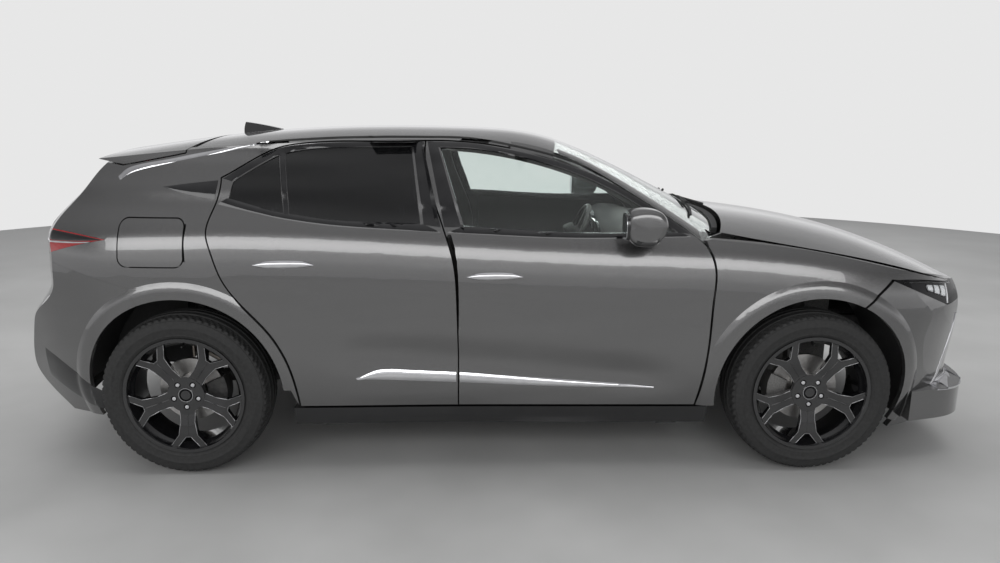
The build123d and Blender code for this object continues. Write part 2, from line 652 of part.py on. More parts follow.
def tail_lamps():
    shell = rear_volume(0) - rear_volume(50)
    lamp = shell & side_prism(TAIL_LAMP) - end_prism(tailgate_outline(PANEL_GAP), -2400, -1500)
    return max(lamp.solids(), key=lambda s: s.volume)


# Roof, screen, cowl, sills and the frame behind the doors
def roof_and_screen():
    inner_edge = within_sides(SIDE_WALL + 0.5)
    roof = top_slab(roof_top, ROOF_X, 0, ROOF_WALL) & inner_edge & behind(SCREEN_TOP_X, 70)
    roof = roof & block((-1366, 600), (-900, 900), (900, 1600))
    screen = top_slab(roof_top, ROOF_X, 3, 9) & inner_edge & ahead_of(SCREEN_TOP_X + 0.4, 70) & behind(SCREEN_BASE_X, 130)
    cowl = top_slab(hood_top, HOOD_X, 14, 40) & ahead_of(SCREEN_BASE_X + 0.4, 130) & behind(HOOD_REAR_X - 3 * PANEL_GAP, 150)
    cowl = cowl & block((700, 1200), (-590, 590), (800, 1200))
    for sign in (-1, 1):
        screen = screen - block((862, 1000), (sign * 640, sign * 800), (900, 1200))
    return roof, screen, cowl


SILL_LOW = 205.0
SILL_TOP = 288.0
RAIL_LIFT = 26.0


def frame_side():
    """Sill, hinge post, centre post, rear post and roof rail that the right doors close on."""
    outer = path(
        (862, SILL_LOW), (862, 940), (800, 1030),
        [(800, 1030), (600, 1170), (425, 1272), (185, 1362), (-130, 1428), (-362, 1439), (-668, 1437), (-900, 1424),
         (-1010, 1404), (-1110, 1352), (-1250, 1268)],
        (-1290, 1160), (-1300, 1000), (-1200, 800), (-1020, 560), (-960, 400), (-930, SILL_LOW)
    )
    openings = [grown(FRONT_DOOR, -46), grown(REAR_DOOR, -46)]
    ring = side_slab(DOOR_WALL + SEAL_GAP, DOOR_WALL + SEAL_GAP + FRAME_WALL) & side_prism(outer - openings[0] - openings[1])
    post = path((862, 230), (862, 940), (700, 940), (700, 230)) - openings[0]
    ring = ring + (side_slab(DOOR_WALL + SEAL_GAP, 165) & side_prism(post))
    ring = ring & top_slab(roof_top, ROOF_X, ROOF_WALL + 0.4, DEEP)
    ring = ring - arch_cut(REAR_AXLE_X, 442.5) - arch_cut(FRONT_AXLE_X, 442.5)
    ring = ring - front_pillar_relief(FRONT_HINGE_X, FRONT_HINGE_Y, FRONT_EDGE_AT, 5, 285, 1035)
    ring = ring - Pos(REAR_HINGE_X, -REAR_HINGE_Y, 650) * Cylinder(50, 720)
    for z in HINGE_HEIGHTS:
        inner = side(FRONT_HINGE_X, z) - 160
        ring = ring + hinge_arm(FRONT_HINGE_X, FRONT_HINGE_Y, z, inner, 60)
        ring = ring + hinge_arm(REAR_HINGE_X, REAR_HINGE_Y, z, side(REAR_HINGE_X, z) - 118, 20)
    return ring


def sill_side():
    """The painted sill under the right doors, with a flat jacking pad near each wheel."""
    strip = side_slab(0, DOOR_WALL + SEAL_GAP - 0.4) & block((-930, 855), (-1200, 0), (SILL_LOW, SILL_TOP))
    strip = strip - arch_cut(REAR_AXLE_X, 446) - arch_cut(FRONT_AXLE_X, 446)
    for x in JACK_X:
        strip = strip + block((x - 45, x + 45), (-815, -775), (SILL_LOW - 12, SILL_LOW + 20))
    return strip


JACK_X = (-760.0, 690.0)


def floor_pan():
    """Bulkhead, toe board, floor, heel step, seat pan and boot floor bent from one sheet."""
    sheet = 18.0
    line = [(846, 950), (846, 420), (640, 214), (-640, 214), (-700, 330), (-1120, 360), (-1200, 470), (-2050, 470)]
    inner = [(828, 950), (828, 428), (633, 214 + sheet), (-630, 214 + sheet), (-688, 330 + sheet), (-1112, 360 + sheet),
             (-1192, 470 + sheet), (-2050, 470 + sheet)]
    face = make_face(Polyline(*line, *reversed(inner), close=True))
    wide = extrude(Plane.XZ * face, amount=690, dir=(0, -1, 0), both=True)
    wide = wide - block((-2100, -925), (-900, -535), (200, 900)) - block((-2100, -925), (535, 900), (200, 900))
    tunnel = block((-600, 640), (-120, 120), (214 + sheet, 320))
    shelf = block((-1992, -1850), (-520, 520), (300, 470))
    wings = block((-640, 630), (-780, -690), (214, 232)) + block((-640, 630), (690, 780), (214, 232))
    return (wide + tunnel + shelf + wings) & within_sides(DOOR_WALL + SEAL_GAP + FRAME_WALL + 0.5)


def wheel_liner(axle_x, inner_y):
    ring = Pos(axle_x, -(834 + inner_y) / 2, TYRE_RADIUS + ARCH_RISE) * Rot(90, 0, 0)
    shell = ring * Cylinder(442, 834 - inner_y) - ring * Cylinder(434, 900)
    if axle_x < 0:
        shell = shell + Pos(axle_x, -inner_y - 4, TYRE_RADIUS + ARCH_RISE) * Rot(90, 0, 0) * Cylinder(436, 8)
        shell = shell - block((axle_x - 80, axle_x + 60), (-640, -500), (300, 740))
    else:
        shell = shell - block((axle_x - 100, axle_x + 100), (-725, -300), (300, 900))
    return shell & block((axle_x - 500, axle_x + 500), (-900, -300), (400, 900)) & within_sides(SIDE_WALL + 2)


# Running gear
def wheel_ring(profile):
    """A ring about the wheel's axle from (radius, outward offset) points of the right wheel."""
    return revolve(make_face(profile), axis=Axis.Y)


def tyre():
    half = [(240.5, 72), (240.5, 85.4), (254.8, 90)]
    wall = Spline((254.8, 90), (276, 100), (300, 102.5), (326, 98), (343, 88), tangents=[(0.4, 1), (0.6, -1)])
    wall_back = Spline((343, -88), (326, -98), (300, -102.5), (276, -100), (254.8, -90), tangents=[(-0.6, -1), (-0.4, 1)])
    crown = ThreePointArc((343, 88), (TYRE_RADIUS, 0), (343, -88))
    inside = Spline((258, -72), (300, -90), (334, -70), (340, 0), (334, 70), (300, 90), (258, 72))
    edges = [Polyline(*half), wall, crown, wall_back, Polyline((254.8, -90), (240.5, -85.4), (240.5, -72), (258, -72)),
             inside, Line((258, 72), (240.5, 72))]
    return wheel_ring(edges)


def rim():
    """Barrel, five forked spokes and the hub of the right wheel, outward at -Y."""
    barrel = wheel_ring(Polyline(
        (RIM_RADIUS, -97), (RIM_RADIUS, -90), (240, -85.5), (240, -68), (RIM_BARREL_RADIUS, -56), (RIM_BARREL_RADIUS, 54),
        (240, 68), (240, 85.5), (RIM_RADIUS, 90), (RIM_RADIUS, 97), (246, 97), (231, 84), (231, 66),
        (RIM_BARREL_RADIUS - RIM_WALL, 52), (RIM_BARREL_RADIUS - RIM_WALL, -60), (231, -76), (240, -97), close=True))
    spoke = Polyline((40, 34), (120, 30), (178, 40), (236, 84), (236, 50), (186, 10), (186, -10), (236, -50), (236, -84),
                     (178, -40), (120, -30), (40, -34), close=True)
    face = make_face(spoke)
    arm = extrude(Plane.XZ * face, amount=34, dir=(0, -1, 0))
    arm = Pos(0, -52, 0) * arm
    dish = wheel_ring(Polyline((0, -44), (90, -44), (150, -58), (236, -64), (236, -92), (150, -84), (90, -72), (0, -72), close=True))
    arm = arm & dish
    hub = Pos(0, -59, 0) * Rot(90, 0, 0) * Cylinder(78, 30)
    wheel = barrel + hub
    for i in range(SPOKE_COUNT):
        wheel = wheel + Rot(0, 90 + 360 / SPOKE_COUNT * i, 0) * arm
    for i in range(LUG_COUNT):
        turn = math.radians(90 + 36 + 360 / LUG_COUNT * i)
        x, z = LUG_CIRCLE * math.cos(turn), LUG_CIRCLE * math.sin(turn)
        wheel = wheel - Pos(x, -70, z) * Rot(90, 0, 0) * Cylinder(LUG_RADIUS + 6, 26)
    return wheel


def brake_disc(radius):
    """Disc, hat and hub of the right wheel; its bore turns on the spindle."""
    return wheel_ring(Polyline(
        (20.3, 30), (20.3, -28), (38, -28), (38, -43.7), (72, -43.7), (72, 2), (radius, 2), (radius, 2 + DISC_WALL - 4),
        (64, 2 + DISC_WALL - 4), (64, -34), (46, -34), (46, 30), close=True))


def caliper(radius, turn):
    """A caliper astride the disc, at an angle round the right wheel's axle."""
    body = Pos(0, 6, 0) * Rot(90, 0, 0) * (Cylinder(radius + 24, 74) - Cylinder(radius - 58, 74))
    room = Pos(0, 13, 0) * Rot(90, 0, 0) * Cylinder(radius + 5, DISC_WALL + 6)
    wedge = extrude(Plane.XZ * make_face(Polyline((0, 0), (260, 118), (260, -118), close=True)), amount=300, both=True)
    return Rot(0, -turn, 0) * ((body - room) & wedge)


def wheel_at(part, axle_x):
    return Pos(axle_x, -TRACK / 2, TYRE_RADIUS) * part


STEER_LOW = 230.0
STEER_HIGH = 560.0


def knuckle():
    """The right front upright: spindle, hub carrier, the eye for the lower ball pin, the strut socket and caliper."""
    x, y, z = FRONT_AXLE_X, -STEER_AXIS_Y, TYRE_RADIUS
    part = bar((x, y + 10, z), (x, -765, z), 42)
    part = part + block((x - 24, x + 24), (y - 24, y + 28), (STEER_LOW, 520))
    part = part + bar((x, y, 500), (x, y, STEER_HIGH), 32)
    part = part - bar((x, y, STEER_LOW - 5), (x, y, STEER_LOW + 30), 9.3)
    part = part - bar((x, y, 520), (x, y, STEER_HIGH + 5), 20.3)
    part = part + Pos(x, -TRACK / 2, z) * caliper(DISC_RADIUS, 180)
    part = part + block((x - 150, x - 20), (-766, -740), (z - 34, z + 34))
    part = part - bar((x, -768, z), (x, -900, z), 52)
    return part + bar((x, -740, z), (x, -816, z), 20)


def front_suspension():
    """Subframe, lower arms with their ball pins, and the strut legs up to the body."""
    frame = block((1120, 1420), (-360, 360), (190, 240)) + block((1135, 1205), (-475, 475), (190, 240))
    result = frame
    for sign in (-1, 1):
        y = sign * STEER_AXIS_Y
        for x in (1150.0, 1395.0):
            result = result + bar((x, sign * 350, 212), (FRONT_AXLE_X, y, 205), 15)
        result = result + bar((FRONT_AXLE_X, y, 186), (FRONT_AXLE_X, y, STEER_LOW - 5.5), 26)
        result = result + bar((FRONT_AXLE_X, y, 200), (FRONT_AXLE_X, y, STEER_LOW + 24), 9)
    struts = []
    for sign in (-1, 1):
        y = sign * STEER_AXIS_Y
        leg = bar((FRONT_AXLE_X, y, 526), (FRONT_AXLE_X, y, 640), 20)
        leg = leg + bar((FRONT_AXLE_X, y, 590), (FRONT_AXLE_X, y, 780), 42)
        leg = leg + block((FRONT_AXLE_X - 80, FRONT_AXLE_X + 80), (y - 65, y + 65), (780, 800))
        leg = leg + block((FRONT_AXLE_X - 80, FRONT_AXLE_X + 80), (y - sign * 40, sign * 410.3), (786, 800))
        struts += leg.solids()
    return result, struts


def rear_axle():
    """Twist beam, trailing arms, spindles, dampers and the rear calipers."""
    beam = bar((-1180, -560, 330), (-1180, 560, 330), 42)
    for sign in (-1, 1):
        y = sign * 570
        beam = beam + bar((-985, y, 345), (REAR_AXLE_X, sign * 610, TYRE_RADIUS), 30)
        beam = beam + bar((REAR_AXLE_X, sign * 590, TYRE_RADIUS), (REAR_AXLE_X, sign * 816, TYRE_RADIUS), 20)
        beam = beam + bar((REAR_AXLE_X, sign * 590, TYRE_RADIUS), (REAR_AXLE_X, sign * 765, TYRE_RADIUS), 40)
        beam = beam + bar((REAR_AXLE_X - 30, sign * 585, TYRE_RADIUS), (REAR_AXLE_X - 10, sign * 585, 720), 26)
        beam = beam + bar((-985, y - 26, 345), (-985, y + 26, 345), 40)
        beam = beam + block((-985, -925.3), (y - 22, y + 22), (335, 365))
        brake = Pos(REAR_AXLE_X, -TRACK / 2, TYRE_RADIUS) * caliper(DISC_RADIUS - 10, 0)
        plate = block((REAR_AXLE_X + 20, REAR_AXLE_X + 140), (-768, -744), (TYRE_RADIUS - 30, TYRE_RADIUS + 30))
        brake = brake + plate
        brake = brake - bar((REAR_AXLE_X, -775, TYRE_RADIUS), (REAR_AXLE_X, -900, TYRE_RADIUS), 52)
        beam = beam + (brake if sign < 0 else mirror(brake, about=Plane.XZ))
    for sign in (-1, 1):
        beam = beam + bar((REAR_AXLE_X, sign * 740, TYRE_RADIUS), (REAR_AXLE_X, sign * 816, TYRE_RADIUS), 20)
    return beam


# Cabin
def seat(x, y, width):
    """A front seat standing on the floor: rails, cushion, back and headrest."""
    cushion = path((-280, 340), (-300, 470), (60, 500), [(60, 500), (190, 510), (215, 470)], (190, 360), (150, 340))
    back = path((-300, 440), (-190, 470), [(-190, 470), (-330, 780), (-440, 1040)], (-470, 1080), (-540, 1070),
                [(-540, 1070), (-470, 760), (-330, 420)])
    rest = path((-480, 1110), (-450, 1180), (-480, 1260), (-560, 1265), (-580, 1190), (-560, 1110))
    half = width / 2
    part = extrude(Plane.XZ * cushion, amount=half, dir=(0, -1, 0), both=True)
    part = part + extrude(Plane.XZ * back, amount=half, dir=(0, -1, 0), both=True)
    part = part + extrude(Plane.XZ * rest, amount=130, dir=(0, -1, 0), both=True)
    for post in (-60, 60):
        part = part + bar((-500, post, 1050), (-515, post, 1130), 7)
        part = part + block((-260, 140), (post * 2.6 - 18, post * 2.6 + 18), (FLOOR_TOP + SEAT_CLEARANCE, 345))
    return Pos(x, y, 0) * part


FLOOR_TOP = 232.0


def rear_bench():
    cushion = path((-1098, 377.4), (-1120, 480), (-720, 505), [(-720, 505), (-650, 500), (-640, 460)], (-660, 400), (-700, 349.3))
    back = path((-1125, 488.4), (-1060, 500), (-1250, 1010), (-1330, 1010), (-1215, 488.4))
    rest = path((-1275, 1030), (-1250, 1110), (-1330, 1120), (-1350, 1030))
    part = extrude(Plane.XZ * cushion, amount=530, dir=(0, -1, 0), both=True)
    part = part + extrude(Plane.XZ * back, amount=525, dir=(0, -1, 0), both=True)
    for y in (-330, 0, 330):
        part = part + Pos(0, y, 0) * extrude(Plane.XZ * rest, amount=110, dir=(0, -1, 0), both=True)
        part = part + bar((-1300, y, 990), (-1310, y, 1050), 9)
    return part


def dashboard():
    face = path((827.6, 960), [(827.6, 960), (700, 985), (560, 985), (500, 930)], (490, 840), (580, 640), (827.6, 640))
    return extrude(Plane.XZ * face, amount=680, dir=(0, -1, 0), both=True) + block((-150, 600), (-100, 100), (320.3, 640)) - block((-150, 380), (-120, 120), (520, 700))


def steering_wheel():
    ring = Torus(178, 15)
    hub = Cylinder(52, 40) + Box(330, 34, 18) + Pos(0, -90, 0) * Box(40, 170, 18)
    wheel = Plane(origin=(410, 370, 850), x_dir=(0, 1, 0), z_dir=(-0.906, 0, 0.423)) * (ring + hub)
    column = bar((410, 370, 850), (560, 370, 780), 30) - dashboard()
    return wheel + column


# Small parts on the outside
def door_mirror():
    """Mirror head and the foot that stands on the door's shoulder."""
    outline = path([(460, 1148), (520, 1164), (590, 1150), (618, 1105), (606, 1050), (560, 1012)], [(560, 1012), (490, 1014), (455, 1040), (450, 1100), (460, 1148)])
    head = extrude(Pos(0, -885, 0) * (Plane.XZ * outline), amount=140, dir=(0, -1, 0))
    head = fillet(head.edges().filter_by(Plane.XZ), 22)
    foot = block((500, 580), (-905, -800), (1004, 1036))
    return (head + foot) - side_slab(-SEAT_CLEARANCE, 400)


def handle(x_rear, x_front, z):
    blade = Pos((x_rear + x_front) / 2, 0, 0)
    blade = block((x_rear, x_front), (-1000, -700), (z - 17, z + 17)) & side_slab(-7, -0.3)
    return blade


def antenna():
    fin = path([(-1310, 1483), (-1250, 1474), (-1135, 1450)], (-1135, 1438), (-1320, 1420), [(-1320, 1420), (-1318, 1460), (-1310, 1483)])
    return extrude(Plane.XZ * fin, amount=22, dir=(0, -1, 0), both=True) - top_slab(roof_top, ROOF_X, -0.3, 400)


def exhaust():
    pipe = bar((900, 60, 186.6), (-1500, 60, 186.6), 27) + bar((-1500, 60, 186.6), (-1760, 200, 270), 27)
    return pipe + block((-1950, -1700), (60, 420), (218, 292))


LIP_LOW = 192.0
LIP_TOP = 330.0
LIP_EDGE = [(1772, -813), (1900, -780), (2010, -737), (2068, -690), (2126, -590), (2162, -440), (2180, -290)]


def front_lip():
    """The right half of the lip that stands out round the bumper's lower corner."""
    outline = path(LIP_EDGE, (1900, -290), (1772, -600))
    band = plan_prism(outline, LIP_LOW, LIP_TOP) - front_volume(-SEAT_CLEARANCE)
    band = band & block((1782, 2300), (-1000, -300), (0, 600))
    return max(band.solids(), key=lambda s: s.volume)


def front_rails():
    """The two rails from the bulkhead to the beam behind the bumper, with posts to the subframe and the strut tops."""
    end = nose(445, 560) - BUMPER_WALL - 4
    part = block((end - 60, end), (-475, 475), (500, 590))
    for sign in (-1, 1):
        low, high = sorted((sign * 418, sign * 472))
        part = part + block((846.3, end), (low, high), (500, 590))
        part = part + block((1230, 1360), (low, high), (580, 785.7))
        part = part + block((1140, 1200), (low, high), (240.3, 510))
    return part & nose_slab(BUMPER_WALL + 0.4, DEEP)


def powertrain():
    """One plain block where the engine and gearbox stand, and the mounts that carry it on the subframe."""
    unit = block((985, 1560), (-410, 410), (262, 850))
    for x in (1150, 1390):
        unit = unit + block((x - 30, x + 30), (-80, 80), (240.3, 270))
    return unit


def build():
    os.makedirs("parts", exist_ok=True)
    roof, screen, cowl = roof_and_screen()
    panel, glass, gate_lamps, spoiler = tailgate()
    roof, spoiler = tailgate_hinge(roof, spoiler)
    save("roof", roof)
    save("windscreen", screen)
    save("cowl", cowl)
    save("tailgate", panel)
    save("tailgate_glass", glass)
    save("tailgate_lamps", gate_lamps)
    save("spoiler", spoiler)
    left_side = body_sides()
    right_side, flap = fuel_flap(left_side)
    save("body_sides", right_side, mirror(left_side, about=Plane.XZ))
    save("fuel_flap", flap)
    frame = frame_side()
    save("side_frames", both(frame))
    save("sills", both(sill_side()))
    hood, wing, bumper, grille, lamp = front_end()
    relief = front_pillar_relief(FRONT_HINGE_X, FRONT_HINGE_Y, FRONT_EDGE_AT, 4.5, 285, 1035)
    hood, wing = hood_hinge(hood, wing - relief)
    save("hood", hood)
    save("front_wings", both(wing))
    save("front_bumper", bumper)
    save("grille", grille)
    save("front_lips", both(front_lip()))
    save("headlamps", both(lamp))
    save("rear_bumper", rear_bumper())
    save("tail_lamps", both(tail_lamps()))
    save("floor", floor_pan())
    liners = both(wheel_liner(FRONT_AXLE_X, 490)) + both(wheel_liner(REAR_AXLE_X, 560))
    save("wheel_liners", liners)
    save("powertrain", powertrain())
    arms, struts = front_suspension()
    save("front_suspension", arms, struts)
    save("front_rails", front_rails())
    save("rear_axle", rear_axle())
    save("exhaust", exhaust())
    save("antenna", antenna())
    save("dashboard", dashboard())
    save("steering_wheel", steering_wheel())
    save("seats", seat(0, -370, 490), seat(0, 370, 490), rear_bench())
    for name, part in doors().items():
        save(name + "_right", part)
        save(name + "_left", mirror(part, about=Plane.XZ))
    fittings = [*door_mirror().solids(), *handle(-184, 47, 873).solids()]
    rear_handle = handle(-1049, -803, 925)
    save("front_fittings_right", fittings)
    save("front_fittings_left", [mirror(s, about=Plane.XZ) for s in fittings])
    save("rear_handle_right", rear_handle)
    save("rear_handle_left", mirror(rear_handle, about=Plane.XZ))
    upright = knuckle()
    save("knuckle_right", upright)
    save("knuckle_left", mirror(upright, about=Plane.XZ))
    for place, axle, disc in (("front", FRONT_AXLE_X, DISC_RADIUS), ("rear", REAR_AXLE_X, DISC_RADIUS - 10)):
        for name, part in (("tyre", tyre()), ("rim", rim()), ("disc", brake_disc(disc))):
            right = wheel_at(part, axle)
            save(f"{name}_{place}_right", right)
            save(f"{name}_{place}_left", mirror(right, about=Plane.XZ))


build()
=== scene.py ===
# %% [markdown]
# # A hatchback in a studio
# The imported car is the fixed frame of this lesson. Nothing in it is moved. Each cell adds looks: finishes,
# trim, tyres, lamps and seats, and every new piece is tied to the body that it moves with.

# %% Load the frame
import json
import math

import bmesh
import bpy
from mathutils import Matrix, Vector
from mathutils.bvhtree import BVHTree


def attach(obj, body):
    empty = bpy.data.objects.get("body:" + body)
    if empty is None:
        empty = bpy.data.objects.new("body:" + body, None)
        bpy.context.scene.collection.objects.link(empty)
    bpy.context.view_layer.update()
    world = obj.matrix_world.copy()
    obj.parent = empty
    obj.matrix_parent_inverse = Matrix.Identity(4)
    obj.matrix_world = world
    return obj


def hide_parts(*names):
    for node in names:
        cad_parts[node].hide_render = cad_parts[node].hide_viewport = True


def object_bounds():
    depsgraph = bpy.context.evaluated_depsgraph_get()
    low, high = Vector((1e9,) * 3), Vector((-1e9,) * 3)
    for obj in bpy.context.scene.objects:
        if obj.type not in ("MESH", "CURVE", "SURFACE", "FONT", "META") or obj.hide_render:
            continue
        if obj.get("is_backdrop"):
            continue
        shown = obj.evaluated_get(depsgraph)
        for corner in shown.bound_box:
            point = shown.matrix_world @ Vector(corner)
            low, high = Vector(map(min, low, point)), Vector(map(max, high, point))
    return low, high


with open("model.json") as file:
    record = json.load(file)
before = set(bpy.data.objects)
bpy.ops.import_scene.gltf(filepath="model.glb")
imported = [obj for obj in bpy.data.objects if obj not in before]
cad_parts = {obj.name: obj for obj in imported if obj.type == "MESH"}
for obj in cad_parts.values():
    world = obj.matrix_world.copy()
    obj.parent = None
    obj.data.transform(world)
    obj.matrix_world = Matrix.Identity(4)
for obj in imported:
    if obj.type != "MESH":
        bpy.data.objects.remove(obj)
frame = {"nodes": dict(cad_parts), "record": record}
nodes = frame["nodes"]
low_before, high_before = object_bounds()
MM = 0.001
SIDES = (("right", 1), ("left", -1))

# %% [markdown]
# ## Camera
# The photograph was taken from standing height, close and square to the right side, with a wide lens. A
# camera could be aimed with a tracking constraint, but three angles written down give the same view on every
# run: a heading, a downward tilt and a small roll.

# %% Place the camera
YAW, TILT, ROLL = 0.0226, 0.217, 0.0039
CAMERA_PLACE = (-0.116, -3.914, 1.517)
forward_level = Vector((math.sin(YAW), math.cos(YAW), 0))
right = Vector((math.cos(YAW), -math.sin(YAW), 0))
forward = forward_level * math.cos(TILT) - Vector((0, 0, math.sin(TILT)))
up = forward_level * math.sin(TILT) + Vector((0, 0, math.cos(TILT)))
right_rolled = right * math.cos(ROLL) + up * math.sin(ROLL)
up_rolled = up * math.cos(ROLL) - right * math.sin(ROLL)
camera_data = bpy.data.cameras.new("camera")
camera_data.lens = 27.04
camera_data.sensor_width = 36
camera = bpy.data.objects.new("camera", camera_data)
turn = Matrix((right_rolled, up_rolled, -forward)).transposed()
camera.matrix_world = Matrix.Translation(CAMERA_PLACE) @ turn.to_4x4()
bpy.context.scene.collection.objects.link(camera)
bpy.context.scene.camera = camera
bpy.context.scene.view_settings.view_transform = "Standard"
print("camera at", tuple(round(v, 3) for v in camera.location))

# %% [markdown]
# ## Finishes
# Every surface of a car has some life in it: metal flake in paint, grain in plastic, streaks on glass. One
# function builds them all. A noise texture in object space steers the colour between two close tones and the
# roughness by a little, and a second, finer texture gives the bump. Values that are the same all over the
# surface, such as metallic and coat, are set on the shader itself.

# %% A finish from two tones, a grain and a bump
def finish(name, dark, light, rough, grain=60.0, spread=0.05, bump=0.0, bump_grain=500.0, cells=False,
           **sockets):
    """A procedural material; sockets are further shader inputs by name, with _ for a space."""
    material = bpy.data.materials.new(name)
    material.use_nodes = True
    tree = material.node_tree
    shader = tree.nodes["Principled BSDF"]
    place = tree.nodes.new("ShaderNodeTexCoord")
    tone = tree.nodes.new("ShaderNodeTexNoise")
    tone.inputs["Scale"].default_value = grain
    tone.inputs["Detail"].default_value = 3.0
    tree.links.new(place.outputs["Object"], tone.inputs["Vector"])
    ramp = tree.nodes.new("ShaderNodeValToRGB")
    ramp.color_ramp.elements[0].position = 0.3
    ramp.color_ramp.elements[1].position = 0.7
    ramp.color_ramp.elements[0].color = (*dark, 1)
    ramp.color_ramp.elements[1].color = (*light, 1)
    tree.links.new(tone.outputs["Fac"], ramp.inputs["Fac"])
    tree.links.new(ramp.outputs["Color"], shader.inputs["Base Color"])
    range_node = tree.nodes.new("ShaderNodeMapRange")
    range_node.inputs["To Min"].default_value = max(0.0, rough - spread)
    range_node.inputs["To Max"].default_value = rough + spread
    tree.links.new(tone.outputs["Fac"], range_node.inputs["Value"])
    tree.links.new(range_node.outputs["Result"], shader.inputs["Roughness"])
    if bump:
        fine = tree.nodes.new("ShaderNodeTexVoronoi" if cells else "ShaderNodeTexNoise")
        fine.inputs["Scale"].default_value = bump_grain
        tree.links.new(place.outputs["Object"], fine.inputs["Vector"])
        relief = tree.nodes.new("ShaderNodeBump")
        relief.inputs["Strength"].default_value = bump
        relief.inputs["Distance"].default_value = 0.001
        tree.links.new(fine.outputs["Distance" if cells else "Fac"], relief.inputs["Height"])
        tree.links.new(relief.outputs["Normal"], shader.inputs["Normal"])
    for key, value in sockets.items():
        shader.inputs[key.replace("_", " ")].default_value = value
    return material


# %% The car's finishes
PAINT = finish("metallic_grey_paint", (0.125, 0.124, 0.125), (0.185, 0.184, 0.185), 0.26, grain=1500,
               spread=0.05, Metallic=0.85, Coat_Weight=1.0, Coat_Roughness=0.02, Coat_IOR=1.6)
GLOSS_BLACK = finish("gloss_black_trim", (0.006, 0.006, 0.007), (0.010, 0.010, 0.011), 0.09, grain=20,
                     spread=0.03, Coat_Weight=0.6, Coat_Roughness=0.03)
RIM_BLACK = finish("gloss_black_wheel_paint", (0.007, 0.007, 0.008), (0.013, 0.013, 0.014), 0.16, grain=35,
                   Metallic=0.25, Coat_Weight=1.0, Coat_Roughness=0.04)
FRAME_PAINT = finish("inner_frame_paint", (0.028, 0.027, 0.026), (0.040, 0.039, 0.038), 0.42, grain=90,
                     bump=0.05)
CHROME = finish("bright_chrome", (0.70, 0.70, 0.72), (0.80, 0.80, 0.82), 0.09, grain=25, spread=0.04,
                Metallic=1.0)
SATIN_METAL = finish("satin_silver", (0.42, 0.42, 0.43), (0.56, 0.56, 0.57), 0.30, grain=120, Metallic=1.0,
                     bump=0.05)
CLEAR_GLASS = finish("clear_green_glass", (0.86, 0.92, 0.90), (0.90, 0.95, 0.93), 0.012, grain=6, spread=0.01,
                     Transmission_Weight=1.0, IOR=1.45)
DARK_GLASS = finish("privacy_glass", (0.018, 0.019, 0.021), (0.026, 0.027, 0.030), 0.015, grain=6,
                    spread=0.01, Transmission_Weight=0.85, IOR=1.5, Coat_Weight=0.5, Coat_Roughness=0.01)
PLASTIC = finish("grained_black_plastic", (0.014, 0.014, 0.014), (0.024, 0.024, 0.025), 0.55, grain=200,
                 bump=0.25, bump_grain=900, cells=True)
SOFT_TRIM = finish("soft_touch_cabin_trim", (0.022, 0.021, 0.021), (0.034, 0.033, 0.032), 0.62, grain=150,
                   bump=0.22, bump_grain=700, cells=True)
HEADLINER = finish("woven_headliner", (0.30, 0.29, 0.28), (0.37, 0.36, 0.34), 0.9, grain=800, bump=0.3,
                   bump_grain=1400, Sheen_Weight=0.3)
CARPET = finish("tufted_carpet", (0.012, 0.012, 0.012), (0.035, 0.034, 0.034), 0.95, grain=600, bump=0.7,
                bump_grain=1200, Sheen_Weight=0.3)
LEATHER = finish("grained_seat_leather", (0.030, 0.028, 0.027), (0.050, 0.047, 0.045), 0.46, grain=90,
                 bump=0.35, bump_grain=420, cells=True)
RUBBER = finish("tyre_rubber", (0.013, 0.013, 0.013), (0.026, 0.026, 0.026), 0.72, grain=70, bump=0.2,
                bump_grain=700)
SEAL = finish("seal_rubber", (0.010, 0.010, 0.010), (0.018, 0.018, 0.018), 0.6, grain=150, bump=0.1)
CAST_METAL = finish("cast_metal", (0.16, 0.16, 0.155), (0.26, 0.255, 0.25), 0.5, grain=160, bump=0.35,
                    bump_grain=350, Metallic=0.7)
DARK_STEEL = finish("painted_steel", (0.035, 0.035, 0.035), (0.07, 0.068, 0.066), 0.5, grain=60, bump=0.12,
                    Metallic=0.4)
EXHAUST_STEEL = finish("heat_stained_steel", (0.22, 0.19, 0.16), (0.36, 0.33, 0.30), 0.4, grain=12,
                       Metallic=1.0)
RED_LENS = finish("red_lamp_lens", (0.33, 0.010, 0.012), (0.46, 0.022, 0.024), 0.10, grain=300, bump=0.45,
                  bump_grain=90, cells=True, Transmission_Weight=0.25, Coat_Weight=1.0)
LAMP_GLASS = finish("lamp_lens_glass", (0.92, 0.93, 0.94), (0.97, 0.98, 0.99), 0.02, grain=10, spread=0.015,
                    Transmission_Weight=1.0, IOR=1.4)
LAMP_MIRROR = finish("lamp_reflector", (0.72, 0.73, 0.75), (0.86, 0.87, 0.88), 0.12, grain=260, bump=0.3,
                     bump_grain=160, cells=True, Metallic=1.0)
LAMP_BLACK = finish("lamp_housing_black", (0.004, 0.004, 0.005), (0.008, 0.008, 0.009), 0.22, grain=20,
                    spread=0.03, Specular_IOR_Level=0.12)
PLATE = finish("blank_plate", (0.62, 0.62, 0.60), (0.70, 0.70, 0.68), 0.38, grain=50, bump=0.04)
MIRROR_GLASS = finish("mirror_glass", (0.74, 0.76, 0.78), (0.80, 0.82, 0.84), 0.02, grain=10, spread=0.015,
                      Metallic=1.0)
SCREEN = finish("display_glass", (0.004, 0.005, 0.007), (0.008, 0.009, 0.012), 0.08, grain=15,
                Coat_Weight=1.0)


